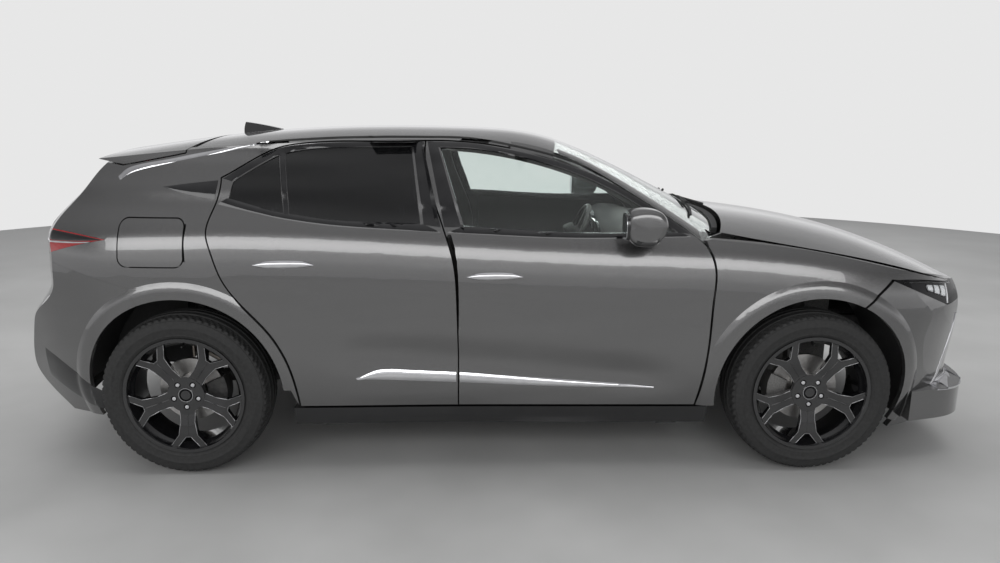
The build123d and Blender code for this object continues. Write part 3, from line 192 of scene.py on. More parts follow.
def brushed_ring_steel():
    """Brake-disc steel: the pads turn fine rings into it, so a ring wave about the axle gives its bump."""
    material = finish("ring_turned_disc_steel", (0.40, 0.39, 0.38), (0.55, 0.54, 0.53), 0.32, grain=30,
                      Metallic=1.0)
    tree = material.node_tree
    rings = tree.nodes.new("ShaderNodeTexWave")
    rings.wave_type = "RINGS"
    rings.rings_direction = "Y"
    rings.inputs["Scale"].default_value = 140
    rings.inputs["Distortion"].default_value = 0.6
    place = next(n for n in tree.nodes if n.type == "TEX_COORD")
    tree.links.new(place.outputs["Generated"], rings.inputs["Vector"])
    relief = tree.nodes.new("ShaderNodeBump")
    relief.inputs["Strength"].default_value = 0.15
    relief.inputs["Distance"].default_value = 0.001
    tree.links.new(rings.outputs["Fac"], relief.inputs["Height"])
    tree.links.new(relief.outputs["Normal"], tree.nodes["Principled BSDF"].inputs["Normal"])
    return material


DISC_STEEL = brushed_ring_steel()
print("finishes", len(bpy.data.materials))

# %% [markdown]
# ## Finishes on the frame's own parts
# The pressed panels, glass and running gear already have the right shapes, so they stay and only change
# finish. A table of slots against materials is shorter and safer than naming parts one by one.

# %% Paint the frame
SLOT_FINISH = {
    "paint": PAINT, "frame_paint": FRAME_PAINT, "clear_glass": CLEAR_GLASS, "dark_glass": DARK_GLASS,
    "black_plastic": PLASTIC, "lamp_lens": LAMP_BLACK, "red_lens": RED_LENS, "chrome": CHROME,
    "carpet": CARPET, "seat_leather": LEATHER, "cast_iron": CAST_METAL, "steel": DARK_STEEL,
    "tyre": RUBBER, "rim_paint": RIM_BLACK, "disc_steel": DISC_STEEL,
}
NODE_FINISH = {"exhaust": EXHAUST_STEEL, "dashboard": SOFT_TRIM, "steering_wheel": LEATHER,
               "sills": GLOSS_BLACK, "antenna": GLOSS_BLACK, "grille": GLOSS_BLACK}
for subpart in frame["record"]["subparts"]:
    node = nodes[subpart["node"]]
    node.data.materials.clear()
    node.data.materials.append(NODE_FINISH.get(subpart["node"], SLOT_FINISH[subpart["material_slot"]]))
print("painted", len(nodes), "parts")

# %% [markdown]
# ## Laying trim on a panel
# Trim follows the panel under it exactly. Modelling that curve twice would leave gaps, so each strip is
# drawn flat in side view as two edge lines, and every point of its grid is cast sideways on to the panel's
# mesh. The grid is then lifted along the panel's normal, more in the middle than at its edges, and closed at
# the back.

# %% Casting helpers
def bend(p0, p1, p2, p3, t):
    """A point of the smooth line that passes through p1 and p2, at t from one to the other."""
    return [0.5 * (2 * b + (c - a) * t + (2 * a - 5 * b + 4 * c - d) * t * t
                   + (3 * b - a - 3 * c + d) * t ** 3) for a, b, c, d in zip(p0, p1, p2, p3)]


def evenly(fine, count):
    """Points spread evenly along a fine run of points."""
    reach = [0.0]
    for a, b in zip(fine, fine[1:]):
        reach.append(reach[-1] + math.dist(a, b))
    result, k = [], 0
    for i in range(count):
        want = reach[-1] * i / (count - 1)
        while k < len(fine) - 2 and reach[k + 1] < want:
            k += 1
        share = min(1.0, (want - reach[k]) / max(1e-9, reach[k + 1] - reach[k]))
        result.append([a + (b - a) * share for a, b in zip(fine[k], fine[k + 1])])
    return result


FINE = 24


def along(points, count):
    """Points spread evenly along a smooth line through the given ones (millimetres)."""
    before = [2 * a - b for a, b in zip(points[0], points[1])]
    after = [2 * a - b for a, b in zip(points[-1], points[-2])]
    knots = [before, *points, after]
    fine = [bend(*knots[i:i + 4], step / FINE) for i in range(len(points) - 1) for step in range(FINE)]
    return evenly([*fine, list(points[-1])], count)


def loop_through(points, count):
    """The same for a closed loop."""
    n = len(points)
    fine = [bend(points[i - 1], points[i], points[(i + 1) % n], points[(i + 2) % n], step / FINE)
            for i in range(n) for step in range(FINE)]
    return evenly([*fine, fine[0]], count + 1)[:-1]


def panel_tree(*names):
    """One search tree over the meshes of some of the frame's parts."""
    points, faces = [], []
    for name in names:
        mesh = nodes[name].data
        start = len(points)
        points += [v.co.copy() for v in mesh.vertices]
        faces += [[start + i for i in polygon.vertices] for polygon in mesh.polygons]
    return BVHTree.FromPolygons(points, faces)


def cast(tree, a, b, toward):
    """The panel's point and outward normal where a line meets it, going +y, -y, +x, -x or -z."""
    axis = "xyz".index(toward[1])
    sign = 1 if toward[0] == "+" else -1
    others = [k for k in range(3) if k != axis]
    start, way = Vector((0, 0, 0)), Vector((0, 0, 0))
    start[others[0]], start[others[1]] = a * MM, b * MM
    start[axis] = -4.0 * sign
    if toward == "-y":
        start[axis] = 0.0
    way[axis] = sign
    point, normal, _, _ = tree.ray_cast(start, way)
    if point is None:
        near = start.copy()
        near[axis] = -0.9 * sign if axis == 1 else -2.1 * sign if axis == 0 else 1.2
        found, normal, _, _ = tree.find_nearest(near)
        point = near
        point[axis] = found[axis]
    if normal.dot(way) > 0:
        normal = -normal
    return point, normal


def piece(name, points, faces, material, body, angle=32, flip=False):
    """A new mesh object that rides on a body; flip mirrors it to the left side."""
    mesh = bpy.data.meshes.new(name)
    if flip:
        points = [(p[0], -p[1], p[2]) for p in points]
    mesh.from_pydata([tuple(p) for p in points], [], faces)
    build = bmesh.new()
    build.from_mesh(mesh)
    bmesh.ops.recalc_face_normals(build, faces=build.faces)
    build.to_mesh(mesh)
    build.free()
    mesh.shade_smooth()
    mesh.set_sharp_from_angle(angle=math.radians(angle))
    mesh.materials.append(material)
    made = bpy.data.objects.new(name, mesh)
    bpy.context.scene.collection.objects.link(made)
    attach(made, body)
    return made


def closed_grid(front, back, rows, columns):
    """A slab between two grids of rows by columns points; the back's numbers follow the front's."""
    faces = []
    n = rows * columns
    for r in range(rows - 1):
        for c in range(columns - 1):
            a = r * columns + c
            b = a + columns
            faces += [(a, a + 1, b + 1, b), (n + b, n + b + 1, n + a + 1, n + a)]
    for c in range(columns - 1):
        last = (rows - 1) * columns
        faces += [(c + 1, c, n + c, n + c + 1), (last + c, last + c + 1, n + last + c + 1, n + last + c)]
    for r in range(rows - 1):
        a, b = r * columns, (r + 1) * columns
        c, d = a + columns - 1, b + columns - 1
        faces += [(a, b, n + b, n + a), (d, c, n + c, n + d)]
    return [*front, *back], faces


def strip(tree, upper, lower, lift=2.5, columns=40, rows=6, toward="+y", sink=0.6):
    """A strip of trim between two edge lines, laid on a panel and crowned by lift millimetres."""
    tops, lows = along(upper, columns), along(lower, columns)
    front, back = [], []
    for r in range(rows):
        t = r / (rows - 1)
        for top, low in zip(tops, lows):
            point, normal = cast(tree, top[0] + (low[0] - top[0]) * t, top[1] + (low[1] - top[1]) * t, toward)
            crown = 0.35 + (lift - 0.35) * (1 - abs(2 * t - 1) ** 3)
            front.append(point + normal * crown * MM)
            back.append(point - normal * sink * MM)
    return closed_grid(front, back, rows, columns)


def both_sides(name, shape, material, body, angle=32):
    """The right-hand piece and its mirror image; a body name with {} is filled in with the side."""
    made = []
    for side, sign in SIDES:
        made.append(piece(f"{name}_{side}", *shape, material, body.format(side), angle, flip=sign < 0))
    return made


FRONT_DOOR_SKIN = panel_tree("front_door_right", "front_glass_right")
REAR_DOOR_SKIN = panel_tree("rear_door_right", "rear_glass_right")
SIDE_SKIN = panel_tree("body_sides")
print("panels ready for trim")

# %% [markdown]
# ## Trim on the doors
# The window line of this car is drawn in gloss black: a belt under the glass, posts between the panes and a
# frame above. A bright strip runs low across both doors. Each strip stops a few millimetres short of the
# shut line, so the doors still open without dragging it, and rides on its own door.

# %% Belt, posts and frames round the side glass
FRONT_TOP = [(-354, 1409), (-130, 1397), (180, 1333), (420, 1243), (590, 1145), (748, 1040)]
FRONT_GLASS_TOP = [(-300, 1384), (-120, 1374), (180, 1310), (410, 1220), (560, 1136), (684, 1047)]
REAR_TOP = [(-1196, 1258), (-1090, 1323), (-985, 1376), (-880, 1396), (-668, 1406), (-371, 1408)]
REAR_GLASS_TOP = [(-1152, 1246), (-1060, 1303), (-960, 1357), (-860, 1373), (-660, 1383), (-424, 1385)]
both_sides("front_window_frame", strip(FRONT_DOOR_SKIN, FRONT_TOP, FRONT_GLASS_TOP, 1.6), GLOSS_BLACK,
           "front_door_{}")
both_sides("rear_window_frame", strip(REAR_DOOR_SKIN, REAR_TOP, REAR_GLASS_TOP, 1.6), GLOSS_BLACK,
           "rear_door_{}")
both_sides("front_belt", strip(FRONT_DOOR_SKIN, [(-190, 1070), (300, 1043), (700, 1046)],
                               [(-270, 1046), (240, 1022), (752, 1027)], 3.0), GLOSS_BLACK, "front_door_{}")
REAR_BELT_TOP = [(-1170, 1182), (-1050, 1150), (-920, 1123), (-700, 1095), (-370, 1081)]
REAR_BELT_FOOT = [(-1208, 1158), (-1050, 1124), (-910, 1097), (-690, 1071), (-290, 1047)]
both_sides("rear_belt", strip(REAR_DOOR_SKIN, REAR_BELT_TOP, REAR_BELT_FOOT, 3.0), GLOSS_BLACK, "rear_door_{}")
front_post = strip(FRONT_DOOR_SKIN, [(-354, 1408), (-278, 1068)], [(-299, 1386), (-195, 1068)], 2.0, rows=5)
both_sides("front_post_cover", front_post, GLOSS_BLACK, "front_door_{}")
rear_post = strip(REAR_DOOR_SKIN, [(-422, 1389), (-377, 1079)], [(-370, 1408), (-292, 1068)], 2.0, rows=5)
both_sides("rear_post_cover", rear_post, GLOSS_BLACK, "rear_door_{}")
divider = strip(REAR_DOOR_SKIN, [(-976, 1360), (-939, 1119)], [(-944, 1366), (-908, 1113)], 2.4, rows=5)
both_sides("quarter_divider", divider, GLOSS_BLACK, "rear_door_{}")
print("window trim on four doors")

# %% Bright strip low on the doors
both_sides("rear_lower_strip", strip(REAR_DOOR_SKIN, [(-655, 433), (-545, 470), (-400, 465), (-232, 455)],
                                     [(-640, 424), (-545, 425), (-400, 418), (-232, 410)], 6.0), CHROME,
           "rear_door_{}")
both_sides("front_lower_strip", strip(FRONT_DOOR_SKIN, [(-217, 454), (200, 420), (615, 388)],
                                      [(-217, 409), (200, 388), (610, 378)], 6.0), CHROME, "front_door_{}")
print("lower strips fitted")

# %% [markdown]
# ## Bright line and black wedge on the rear pillar
# A polished line climbs from the tail to the windows, a black moulding carries it on along the roof's edge,
# and a black wedge closes the glass behind the rear door. They sit on the body side itself, so they ride on
# the body.

# %% Pillar trim
LINE_TOP = [(-1652, 1264), (-1594, 1304), (-1420, 1338), (-1300, 1362), (-1010, 1412)]
LINE_FOOT = [(-1640, 1250), (-1578, 1284), (-1420, 1321), (-1300, 1346), (-1010, 1404)]
MOULDING_TOP = [(-1010, 1412), (-880, 1422), (-668, 1431), (-362, 1433), (-130, 1422), (185, 1357),
                (425, 1268)]
MOULDING_FOOT = [(-1010, 1404), (-880, 1413), (-668, 1422), (-362, 1424), (-130, 1413), (185, 1348),
                 (425, 1259)]
WEDGE_TOP = [(-1440, 1226), (-1330, 1240), (-1214, 1252)]
WEDGE_FOOT = [(-1436, 1222), (-1330, 1196), (-1222, 1176)]
both_sides("cant_line", strip(SIDE_SKIN, LINE_TOP, LINE_FOOT, 2.6, columns=60), CHROME, "body")
moulding = strip(SIDE_SKIN, MOULDING_TOP, MOULDING_FOOT, 1.8, columns=90, rows=5)
both_sides("cant_line_fore", moulding, SEAL, "body")
both_sides("pillar_wedge", strip(SIDE_SKIN, WEDGE_TOP, WEDGE_FOOT, 2.2, rows=7), GLOSS_BLACK, "body")
print("pillar trim fitted")

# %% [markdown]
# ## Tyres
# A road tyre has ribs round its crown, blocks on its shoulders and a few raised rings on its wall. Wrapping
# a flat tread with a curve modifier would work, but the joint would show, so the ring is spun point by
# point: a profile gives each rib and groove, and every few steps round the wheel the shoulder drops into a
# slanted cross groove.

# %% Spin one tyre
TYRE_RADIUS, TREAD_HALF, TREAD_DEPTH = 354.0, 88.0, 6.5
STEPS_ROUND = 288
GROOVES = (-52.0, -18.0, 18.0, 52.0)
GROOVE_HALF = 4.5


def crown_radius(offset):
    """Radius of the tread at an offset from the middle: a shallow arc."""
    return TYRE_RADIUS - 11.0 * (offset / TREAD_HALF) ** 2


def tread_offsets():
    """Where the tread's profile has points, across its width."""
    offsets = {-TREAD_HALF, TREAD_HALF, -76.0, 76.0, -64.0, 64.0, -35.0, 35.0, -8.0, 8.0}
    for groove in GROOVES:
        offsets |= {groove - GROOVE_HALF - 1.2, groove - GROOVE_HALF, groove + GROOVE_HALF,
                    groove + GROOVE_HALF + 1.2}
    return sorted(offsets)


WALL = [(343, 88), (336, 93.5), (333, 94.4), (331, 97.2), (318, 100.4), (304, 102.2), (302, 103.2),
        (298, 103.2), (296, 102.2), (284, 101.2), (272, 98.8), (270, 99.4), (264, 97.0), (258, 92.5),
        (254.9, 90), (241, 85), (241, 72)]


def tyre_shape():
    """Points and faces of a tyre about the Y axis, in millimetres, with its outer wall at -Y."""
    profile = [(r, -y) for r, y in reversed(WALL)][:-1]
    tread_from = len(profile)
    profile += [(crown_radius(y), y) for y in tread_offsets()]
    tread_to = len(profile)
    profile += WALL[1:]
    profile += [(262, 72), (268, 0), (262, -72)]
    points, faces = [], []
    for step in range(STEPS_ROUND):
        angle = 2 * math.pi * step / STEPS_ROUND
        for k, (radius, offset) in enumerate(profile):
            if tread_from <= k < tread_to:
                in_groove = any(abs(offset - groove) <= GROOVE_HALF for groove in GROOVES)
                slant = step + int(abs(offset) // 14)
                on_shoulder = 58 < abs(offset) <= TREAD_HALF and slant % 4 == 0
                on_rib = 24 < abs(offset) < 46 and (slant + 2) % 8 == 0
                radius -= TREAD_DEPTH if in_groove or on_shoulder else 3.0 if on_rib else 0.0
            elif abs(offset) > 93 and radius > 330 and (step + 2) % 4 == 0:
                radius -= 1.2
            points.append((radius * math.cos(angle), offset, radius * math.sin(angle)))
    n = len(profile)
    for step in range(STEPS_ROUND):
        here, there = step * n, (step + 1) % STEPS_ROUND * n
        for k in range(n):
            faces.append((here + k, here + (k + 1) % n, there + (k + 1) % n, there + k))
    return points, faces


WHEELS = [("front", 1295.0), ("rear", -1380.0)]
HALF_TRACK, HUB_HEIGHT = 800.0, 354.0


def at_wheel(points, axle_x):
    """Millimetre points about the axle of the right wheel, moved to their place in metres."""
    return [Vector(((p[0] + axle_x) * MM, (p[1] - HALF_TRACK) * MM,
                    (p[2] + HUB_HEIGHT) * MM)) for p in points]


tyre_points, tyre_faces = tyre_shape()
for place, axle_x in WHEELS:
    for side, sign in SIDES:
        tyre = piece(f"road_tyre_{place}_{side}", at_wheel(tyre_points, axle_x), tyre_faces, RUBBER,
                     f"wheel_{place}_{side}", angle=24, flip=sign < 0)
        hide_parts(f"tyre_{place}_{side}")
print("tyres with", len(tyre_faces), "faces each")

# %% [markdown]
# ## Wheel details
# Five nuts and a plain ringed cap close the middle of each black wheel, and a rubber valve stands by the rim.
# A spun profile makes every round piece, so nuts, caps and valves share one helper. A bevel modifier with an
# angle limit then softens only the hard edges of the spokes.

# %% Nuts, caps and valves
def spun(profile, steps=24):
    """A closed solid spun about -Y from (radius, offset) points."""
    points, faces = [], []
    for step in range(steps):
        angle = 2 * math.pi * step / steps
        points += [(radius * math.cos(angle), offset, radius * math.sin(angle)) for radius, offset in profile]
    n = len(profile)
    for step in range(steps):
        here, there = step * n, (step + 1) % steps * n
        faces += [(here + k, here + k + 1, there + k + 1, there + k) for k in range(n - 1)]
    faces.append(tuple(step * n for step in range(steps)))
    faces.append(tuple(step * n + n - 1 for step in reversed(range(steps))))
    return points, faces


def shifted(shape, x, y, z):
    """A shape moved by x, y and z."""
    return [(p[0] + x, p[1] + y, p[2] + z) for p in shape[0]], shape[1]


def joined(*shapes):
    """Several shapes as the points and faces of one mesh."""
    points, faces = [], []
    for more_points, more_faces in shapes:
        start = len(points)
        points += more_points
        faces += [tuple(start + i for i in face) for face in more_faces]
    return points, faces


LUG_CIRCLE, LUG_COUNT, NUT_FACE = 54.0, 5, -58.5
nut = spun([(10.6, 0), (10.6, -3), (9.4, -4), (9.4, -14), (7.6, -16.5), (3, -17.6)])
nuts = []
for i in range(LUG_COUNT):
    turn_nut = math.radians(126 + 360 / LUG_COUNT * i)
    nuts.append(shifted(nut, LUG_CIRCLE * math.cos(turn_nut), NUT_FACE, LUG_CIRCLE * math.sin(turn_nut)))
lug_nuts = joined(*nuts)
cap = spun([(33, -70), (33, -74.5), (31, -76), (27.5, -76.2), (26.5, -74.6), (22, -74.4), (21, -76.2),
            (6, -77.4), (1.5, -77.5)], steps=48)
cap_ring = spun([(31.2, -75.4), (30.6, -77.0), (28.4, -77.0), (27.8, -75.4)], steps=48)
valve = shifted(spun([(4.2, -52), (4.2, -74), (3.4, -76), (1.2, -76.4)], steps=12), 0, 0, 212)
for place, axle_x in WHEELS:
    for side, sign in SIDES:
        for name, shape, material in (("lug_nuts", lug_nuts, CHROME), ("wheel_cap", cap, RIM_BLACK),
                                      ("cap_ring", cap_ring, SATIN_METAL), ("valve", valve, SEAL)):
            piece(f"{name}_{place}_{side}", at_wheel(shape[0], axle_x), shape[1], material,
                  f"wheel_{place}_{side}", flip=sign < 0)
print("nuts, caps and valves on four wheels")

# %% Softened edges on the spokes
for place, _ in WHEELS:
    for side, _ in SIDES:
        rim = nodes[f"rim_{place}_{side}"]
        weld = rim.modifiers.new("weld", "WELD")
        weld.merge_threshold = 0.00002
        bevel = rim.modifiers.new("soft_edges", "BEVEL")
        bevel.width = 0.0022
        bevel.segments = 2
        bevel.limit_method = "ANGLE"
        bevel.angle_limit = math.radians(28)
print("spoke edges softened")

# %% [markdown]
# ## Mirror and handle of each front door
# On the car the mirror head is a rounded painted shell with a black foot and a glass set into its rear face,
# and the handle is a flush chrome blade. The frame's solid joins them in one part, so it is replaced by
# separate pieces cut from the same outlines: the shell is a loft of shrinking outlines, which gives the
# rounding a plain extrusion lacks.

# %% Mirror shells, glass and feet
HEAD = [(460, 1146), (520, 1161), (588, 1148), (615, 1104), (603, 1052), (558, 1016), (492, 1017),
        (457, 1042), (453, 1098)]


def lofted(loops):
    """A closed solid through loops of the same count."""
    n = len(loops[0])
    points = [p for loop in loops for p in loop]
    faces = []
    for k in range(len(loops) - 1):
        for i in range(n):
            j = (i + 1) % n
            faces.append((k * n + i, k * n + j, (k + 1) * n + j, (k + 1) * n + i))
    faces += [tuple(reversed(range(n))), tuple((len(loops) - 1) * n + i for i in range(n))]
    return points, faces


HEAD_POINTS = 40
head_loop = loop_through(HEAD, HEAD_POINTS)
centre = [sum(p[k] for p in head_loop) / HEAD_POINTS for k in range(2)]
HEAD_LEVELS = [(-889, 0.80), (-892, 0.92), (-900, 0.99), (-930, 1.0), (-980, 1.0), (-1004, 0.96),
               (-1017, 0.86), (-1023, 0.66)]


def head_at(y, share):
    """One level of the mirror head: the outline shrunk to a share about its middle."""
    return [Vector(((centre[0] + (x - centre[0]) * share) * MM, y * MM,
                    (centre[1] + (z - centre[1]) * share) * MM)) for x, z in head_loop]


shell = lofted([head_at(y, share) for y, share in HEAD_LEVELS])
FOOT_LEVELS = ((-812, 1010, 1036, 505, 575), (-860, 1016, 1040, 500, 582), (-905, 1020, 1052, 490, 590))
foot_loops = []
for y, low, high, back, front in FOOT_LEVELS:
    middle, waist = (back + front) / 2, (low + high) / 2
    ring = ((back, low), (middle, low - 4), (front, low), (front + 6, waist), (front, high), (middle, high + 3),
            (back, high), (back - 6, waist))
    foot_loops.append([Vector((x * MM, y * MM, z * MM)) for x, z in ring])
foot = lofted(foot_loops)
for side, sign in SIDES:
    body = f"front_door_{side}"
    head = piece(f"mirror_shell_{side}", *shell, PAINT, body, 50, flip=sign < 0)
    smooth_head = head.modifiers.new("rounding", "SUBSURF")
    smooth_head.levels = smooth_head.render_levels = 1
    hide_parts(f"front_fittings_{side}")
    piece(f"mirror_foot_{side}", *foot, GLOSS_BLACK, body, 40, flip=sign < 0)
print("mirrors built")

# %% Mirror glass, lower shell and blade handles
glass_loop = [(-1006, 1060), (-1012, 1095), (-1000, 1128), (-950, 1138), (-905, 1134), (-898, 1090),
              (-906, 1040), (-950, 1032), (-990, 1038)]
glass_ring = loop_through(glass_loop, 28)
mirror_rim = lofted([[Vector((x * MM, y * MM, z * MM)) for y, z in glass_ring] for x in (470, 449)])
mirror_face = lofted([[Vector((x * MM, (-953 + (y + 953) * 0.93) * MM, (1086 + (z - 1086) * 0.93) * MM))
                       for y, z in glass_ring] for x in (460, 447.6)])
under_loops = []
for y, inset in ((-888, 14), (-896, 2), (-930, 0), (-985, 0), (-1008, 8), (-1020, 26)):
    ring = [(466 + inset, 1062), (520, 1066), (600 - inset, 1062), (597 - inset, 1046),
            (556, 1013 + inset * 0.4), (494, 1014 + inset * 0.4), (462 + inset, 1040)]
    under_loops.append([Vector((x * MM, y * MM, z * MM)) for x, z in loop_through(ring, 28)])
under = lofted(under_loops)
both_sides("mirror_rim", mirror_rim, GLOSS_BLACK, "front_door_{}")
both_sides("mirror_face", mirror_face, MIRROR_GLASS, "front_door_{}")
both_sides("mirror_underside", under, GLOSS_BLACK, "front_door_{}", 50)


def blade(tree, rear, front, z):
    """A flush handle: a slim lens with pointed ends, thickest in the middle."""
    middle = (rear + front) / 2
    upper = [(rear, z), (rear + 40, z + 12), (middle, z + 16), (front - 40, z + 13), (front, z)]
    lower = [(rear, z - 4), (rear + 40, z - 14), (middle, z - 15), (front - 40, z - 11), (front, z - 4)]
    return strip(tree, upper, lower, 8.5, columns=44, rows=9)


both_sides("front_handle_blade", blade(FRONT_DOOR_SKIN, -184, 47, 873), CHROME, "front_door_{}")
for made in both_sides("rear_handle_blade", blade(REAR_DOOR_SKIN, -1049, -803, 925), CHROME, "rear_door_{}"):
    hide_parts("rear_handle_" + made.name.rsplit("_", 1)[1])
print("mirror glass and handle blades fitted")

# %% [markdown]
# ## Painted highlights on the spoke edges
# The edges of the black spokes catch the light as thin bright lines. A bevel alone is too narrow to show at
# this distance, so a fine bright silver bead is laid along each edge as a painted highlight. The bead is a
# tube swept along points of the spoke's outline.

# %% Sweep a tube, and lay painted highlight beads on the spokes
def tube(path, radius, sides=8):
    """A closed round bar along points, with its ring turned square to the path at each one."""
    path = [Vector(p) for p in path]
    points, faces = [], []
    for i, place in enumerate(path):
        ahead = (path[min(i + 1, len(path) - 1)] - path[max(i - 1, 0)]).normalized()
        across = ahead.cross(Vector((0.13, 0.27, 0.95))).normalized()
        over = ahead.cross(across)
        for k in range(sides):
            angle = 2 * math.pi * k / sides
            points.append(place + (across * math.cos(angle) + over * math.sin(angle)) * radius)
    for i in range(len(path) - 1):
        for k in range(sides):
            j = (k + 1) % sides
            faces.append((i * sides + k, i * sides + j, (i + 1) * sides + j, (i + 1) * sides + k))
    faces += [tuple(reversed(range(sides))), tuple((len(path) - 1) * sides + k for k in range(sides))]
    return points, faces


def spoke_face(radius):
    """How far out the front of a spoke stands at a radius."""
    if radius < 90:
        return -72.0
    return -min(86.0, 72 + 12 * (radius - 90) / 60 if radius < 150 else 84 + 8 * (radius - 150) / 86)


SPOKE_COUNT = 5
SPOKE_EDGES = [[(80, 32), (120, 30), (178, 40), (228, 78)], [(80, -32), (120, -30), (178, -40), (228, -78)],
               [(228, 45), (186, 10), (186, -10), (228, -45)]]
RIDGE = [(70, 0), (120, 0), (176, 0)]
# the beads are bright silver laid on the black spoke edges as painted highlights; the ridges stay black
highlight_beads, ridges = [], []
for i in range(SPOKE_COUNT):
    turn_spoke = math.radians(90 + 360 / SPOKE_COUNT * i)
    for edge in [*SPOKE_EDGES, RIDGE]:
        run = []
        for a, b in zip(edge, edge[1:]):
            run += [(a[0] + (b[0] - a[0]) * t / 6, a[1] + (b[1] - a[1]) * t / 6) for t in range(6)]
        run.append(edge[-1])
        line = [(x * math.cos(turn_spoke) + z * math.sin(turn_spoke), spoke_face(math.hypot(x, z)) + 0.4,
                 z * math.cos(turn_spoke) - x * math.sin(turn_spoke)) for x, z in run]
        if edge is RIDGE:
            ridges.append(tube(line, 2.6, 6))
        else:
            highlight_beads.append(tube(line, 1.3, 6))
highlight_bead_shape, ridge_shape = joined(*highlight_beads), joined(*ridges)
for place, axle_x in WHEELS:
    for side, sign in SIDES:
        # spoke beads: silver tubes on the black spokes, a painted highlight along each edge
        for name, shape, material in (("spoke_beads", highlight_bead_shape, SATIN_METAL),
                                      ("spoke_ridges", ridge_shape, RIM_BLACK)):
            piece(f"{name}_{place}_{side}", at_wheel(shape[0], axle_x), shape[1], material,
                  f"wheel_{place}_{side}", 60, flip=sign < 0)
print("highlight_beads", len(highlight_beads), "on each wheel")

# %% [markdown]
# ## Lamps
# Each headlamp is a slim black triangle with reflector cells, a bright upright at its front and a clear line
# under its upper edge. The tail lamp is a dark wedge over a red one, with a thin bright strip between. The
# frame's lamps are solid, so their finish is the housing, and cells, strips and lenses are laid on them.

# %% Headlamp cells and lines
LAMP_SKIN = panel_tree("headlamps")
both_sides("headlamp_line", strip(LAMP_SKIN, [(1650, 839), (1780, 829), (1900, 809), (1985, 792)],
                                  [(1650, 836), (1780, 823), (1900, 802), (1985, 785)], 1.6, rows=5),
           LAMP_GLASS, "body")
upright = strip(LAMP_SKIN, [(1931, 796), (1935, 716)], [(1947, 794), (1949, 713)], 2.2, 16, 5)
both_sides("headlamp_upright", upright, LAMP_MIRROR, "body")
for k, x in enumerate((1795.0, 1842.0, 1888.0)):
    top, low = 812 - k * 8, 790 - k * 17
    cell = strip(LAMP_SKIN, [(x, top), (x + 34, top - 6)], [(x + 3, low), (x + 36, low - 10)], 2.4, 14, 7)
    both_sides(f"headlamp_cell_{k}", cell, LAMP_MIRROR, "body")
    lens_top, lens_foot = [(x - 4, top + 4), (x + 38, top - 2)], [(x - 1, low - 4), (x + 40, low - 14)]
    lens = strip(LAMP_SKIN, lens_top, lens_foot, 3.6, 14, 7)
    both_sides(f"headlamp_lens_{k}", lens, LAMP_GLASS, "body")
print("headlamps dressed")

# %% Tail lamp wedges
TAIL_SKIN = panel_tree("tail_lamps")
both_sides("tail_lamp_wedge", strip(TAIL_SKIN, [(-1676, 1019), (-1800, 1034), (-1950, 1047)],
                                    [(-1676, 1016), (-1800, 1008), (-1960, 1004)], 1.6), GLOSS_BLACK, "body")
both_sides("tail_lamp_strip", strip(TAIL_SKIN, [(-1720, 1009), (-1820, 1005), (-1975, 1002)],
                                    [(-1724, 1004), (-1820, 998), (-1975, 994)], 2.4, rows=5), CHROME, "body")
print("tail lamps dressed")

# %% [markdown]
# ## Bumpers
# The front corner carries an upright bright blade that turns along the lip at its foot, the grille is a dark
# hexagon of bars, and blank plates mark where a registration would go. Behind, a dark valance and a silver
# skid close the bumper.

# %% Corner blades and grille
NOSE_SKIN = panel_tree("front_bumper", "front_lips")
both_sides("corner_blade", strip(NOSE_SKIN, [(2052, 645), (2004, 500), (1962, 372), (1938, 334)],
                                 [(2040, 644), (1986, 500), (1938, 380), (1912, 326)], 5.0, 50, 7), CHROME,
           "body")
both_sides("lip_blade", strip(NOSE_SKIN, [(1936, 352), (2000, 349), (2060, 348), (2110, 346)],
                              [(1914, 324), (2000, 318), (2060, 315), (2116, 314)], 5.0, 40, 7), CHROME,
           "body")
GRILLE_SKIN = panel_tree("grille")
GRILLE_BARS = 13


def grille_half_width(z):
    """Half the width of the hexagon at a height; it is widest at 610."""
    return 476 - (610 - z) * 96 / 280 if z < 610 else 476 - (z - 610) * 146 / 118


bars = []
for k in range(GRILLE_BARS):
    z = 350 + k * (708 - 350) / (GRILLE_BARS - 1)
    half = grille_half_width(z) - 12
    top, low = [(-half, z + 5), (half, z + 5)], [(-half, z - 5), (half, z - 5)]
    bars.append(strip(GRILLE_SKIN, top, low, 9.0, 40, 5, "-x"))
piece("grille_bars", *joined(*bars), SATIN_METAL, "body", 50)
front_plate = strip(GRILLE_SKIN, [(-260, 500), (260, 500)], [(-260, 388), (260, 388)], 12.5, 30, 8, "-x")
piece("front_plate", *front_plate, PLATE, "body")
print("grille bars", GRILLE_BARS)

# %% Rear plate, valance, skid and reflectors
REAR_SKIN = panel_tree("rear_bumper")
GATE_SKIN = panel_tree("tailgate", "tailgate_glass")
rear_plate = strip(GATE_SKIN, [(-260, 906), (260, 906)], [(-260, 794), (260, 794)], 5.0, 30, 8, "+x")
piece("rear_plate", *rear_plate, PLATE, "tailgate")
both_sides("rear_valance", strip(REAR_SKIN, [(-1744, 350), (-1850, 418), (-1960, 486), (-2030, 520)],
                                 [(-1748, 262), (-1850, 292), (-1960, 350), (-2030, 392)], 3.0, 40, 8),
           GLOSS_BLACK, "body")
skid = strip(REAR_SKIN, [(-470, 352), (470, 352)], [(-430, 262), (430, 262)], 4.0, 50, 8, "+x")
piece("rear_skid", *skid, SATIN_METAL, "body")
reflector = strip(REAR_SKIN, [(-640, 470), (-520, 470)], [(-640, 444), (-520, 444)], 3.0, 24, 6, "+x")
both_sides("rear_reflector", reflector, RED_LENS, "body")
gate_bar = strip(GATE_SKIN, [(-150, 1012), (150, 1012)], [(-150, 998), (150, 998)], 3.0, 30, 5, "+x")
piece("gate_trim_bar", *gate_bar, CHROME, "tailgate")
print("rear trim fitted")

